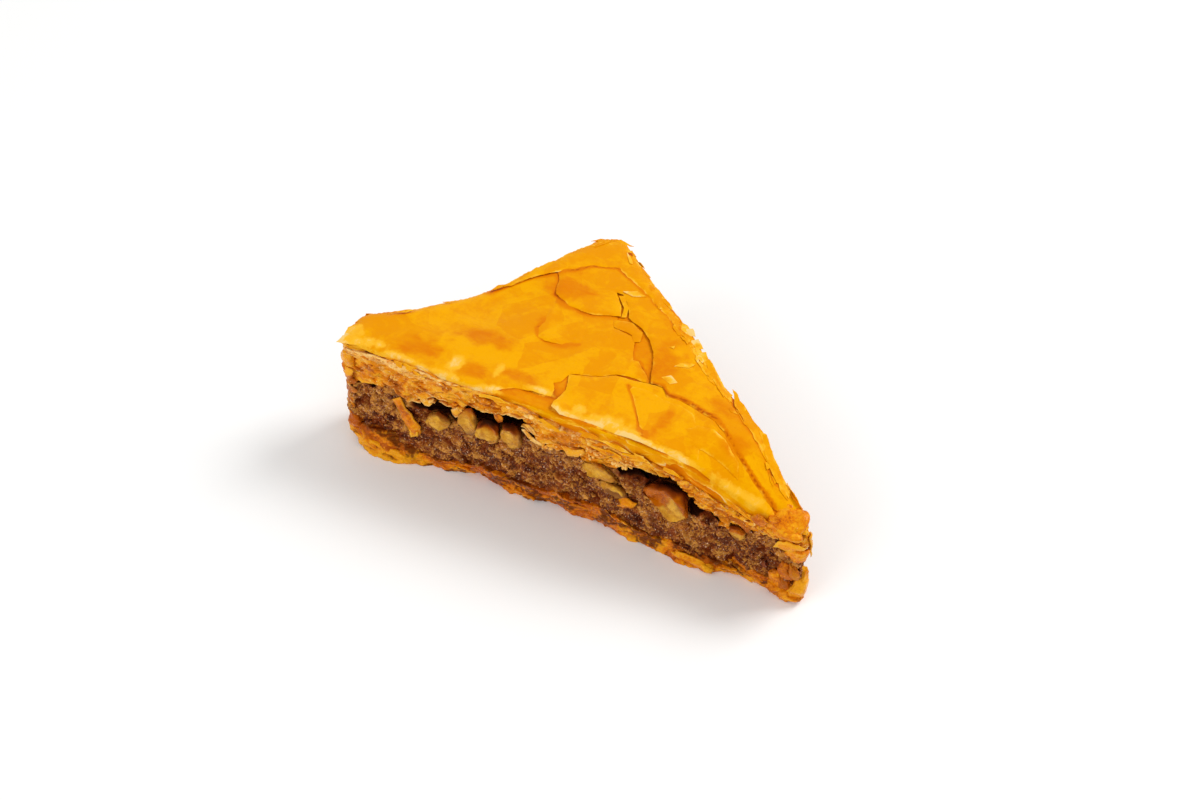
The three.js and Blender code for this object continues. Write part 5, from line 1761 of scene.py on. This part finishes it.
class BAKLAVA_OT_base(bpy.types.Operator):
    """Adds the amber base leaves"""

    bl_idname = "baklava.base"
    bl_label = "Base Leaves"
    bl_options = {"REGISTER", "UNDO"}

    def execute(self, context):
        make_base(context.scene.baklava_sizes, context.scene.baklava_colours)
        return {"FINISHED"}


class BAKLAVA_OT_folds(bpy.types.Operator):
    """Adds the folded leaf ends at both ends of the long cut"""

    bl_idname = "baklava.folds"
    bl_label = "Folded Ends"
    bl_options = {"REGISTER", "UNDO"}

    def execute(self, context):
        make_folds(context.scene.baklava_colours)
        return {"FINISHED"}


class BAKLAVA_OT_filling(bpy.types.Operator):
    """Adds the ground walnut filling with its crumbs"""

    bl_idname = "baklava.filling"
    bl_label = "Ground Walnut"
    bl_options = {"REGISTER", "UNDO"}

    def execute(self, context):
        make_filling(context.scene.baklava_sizes, context.scene.baklava_colours)
        make_crumbs(context.scene.baklava_sizes, context.scene.baklava_colours)
        return {"FINISHED"}


class BAKLAVA_OT_nuts(bpy.types.Operator):
    """Adds the large walnut pieces at the cuts"""

    bl_idname = "baklava.nuts"
    bl_label = "Walnut Pieces"
    bl_options = {"REGISTER", "UNDO"}

    def execute(self, context):
        make_nuts(context.scene.baklava_colours)
        return {"FINISHED"}


class BAKLAVA_OT_soaked_leaves(bpy.types.Operator):
    """Adds the soaked stack of leaves under the crisp ones"""

    bl_idname = "baklava.soaked_leaves"
    bl_label = "Soaked Leaves"
    bl_options = {"REGISTER", "UNDO"}

    def execute(self, context):
        make_soaked_stack(context.scene.baklava_sizes, context.scene.baklava_colours)
        return {"FINISHED"}


class BAKLAVA_OT_crisp_leaves(bpy.types.Operator):
    """Adds the cracked crisp leaves on top"""

    bl_idname = "baklava.crisp_leaves"
    bl_label = "Crisp Leaves"
    bl_options = {"REGISTER", "UNDO"}

    def execute(self, context):
        make_crisp_leaves(context.scene.baklava_sizes, context.scene.baklava_colours)
        return {"FINISHED"}


class BAKLAVA_OT_stage(bpy.types.Operator):
    """Adds the floor, lights and camera"""

    bl_idname = "baklava.stage"
    bl_label = "Floor, Lights and Camera"
    bl_options = {"REGISTER", "UNDO"}

    def execute(self, context):
        make_stage(context.scene.baklava_stage)
        return {"FINISHED"}


STEPS = [BAKLAVA_OT_base, BAKLAVA_OT_folds, BAKLAVA_OT_filling, BAKLAVA_OT_nuts, BAKLAVA_OT_soaked_leaves,
         BAKLAVA_OT_crisp_leaves, BAKLAVA_OT_stage]


class BAKLAVA_PT_steps(bpy.types.Panel):
    """Lists the steps that make the piece, with their settings"""

    bl_idname = "BAKLAVA_PT_steps"
    bl_label = "Baklava"
    bl_space_type = "VIEW_3D"
    bl_region_type = "UI"
    bl_category = "Baklava"

    def draw(self, context):
        for step in STEPS:
            self.layout.operator(step.bl_idname)
        for group in GROUPS:
            box = self.layout.box()
            for name in GROUPS[group].__annotations__:
                box.prop(getattr(context.scene, group), name)


GROUPS = {"baklava_sizes": BaklavaSizes, "baklava_colours": BaklavaColours, "baklava_stage": BaklavaStage}
CLASSES = [*GROUPS.values(), *STEPS, BAKLAVA_PT_steps]


def register():
    for cls in CLASSES:
        bpy.utils.register_class(cls)
    for name, group in GROUPS.items():
        setattr(bpy.types.Scene, name, bpy.props.PointerProperty(type=group))


def unregister():
    for name in GROUPS:
        delattr(bpy.types.Scene, name)
    for cls in reversed(CLASSES):
        bpy.utils.unregister_class(cls)


def main():
    register()
    for step in STEPS:
        group, name = step.bl_idname.split(".")
        getattr(getattr(bpy.ops, group), name)()


if __name__ == "__main__":
    main()
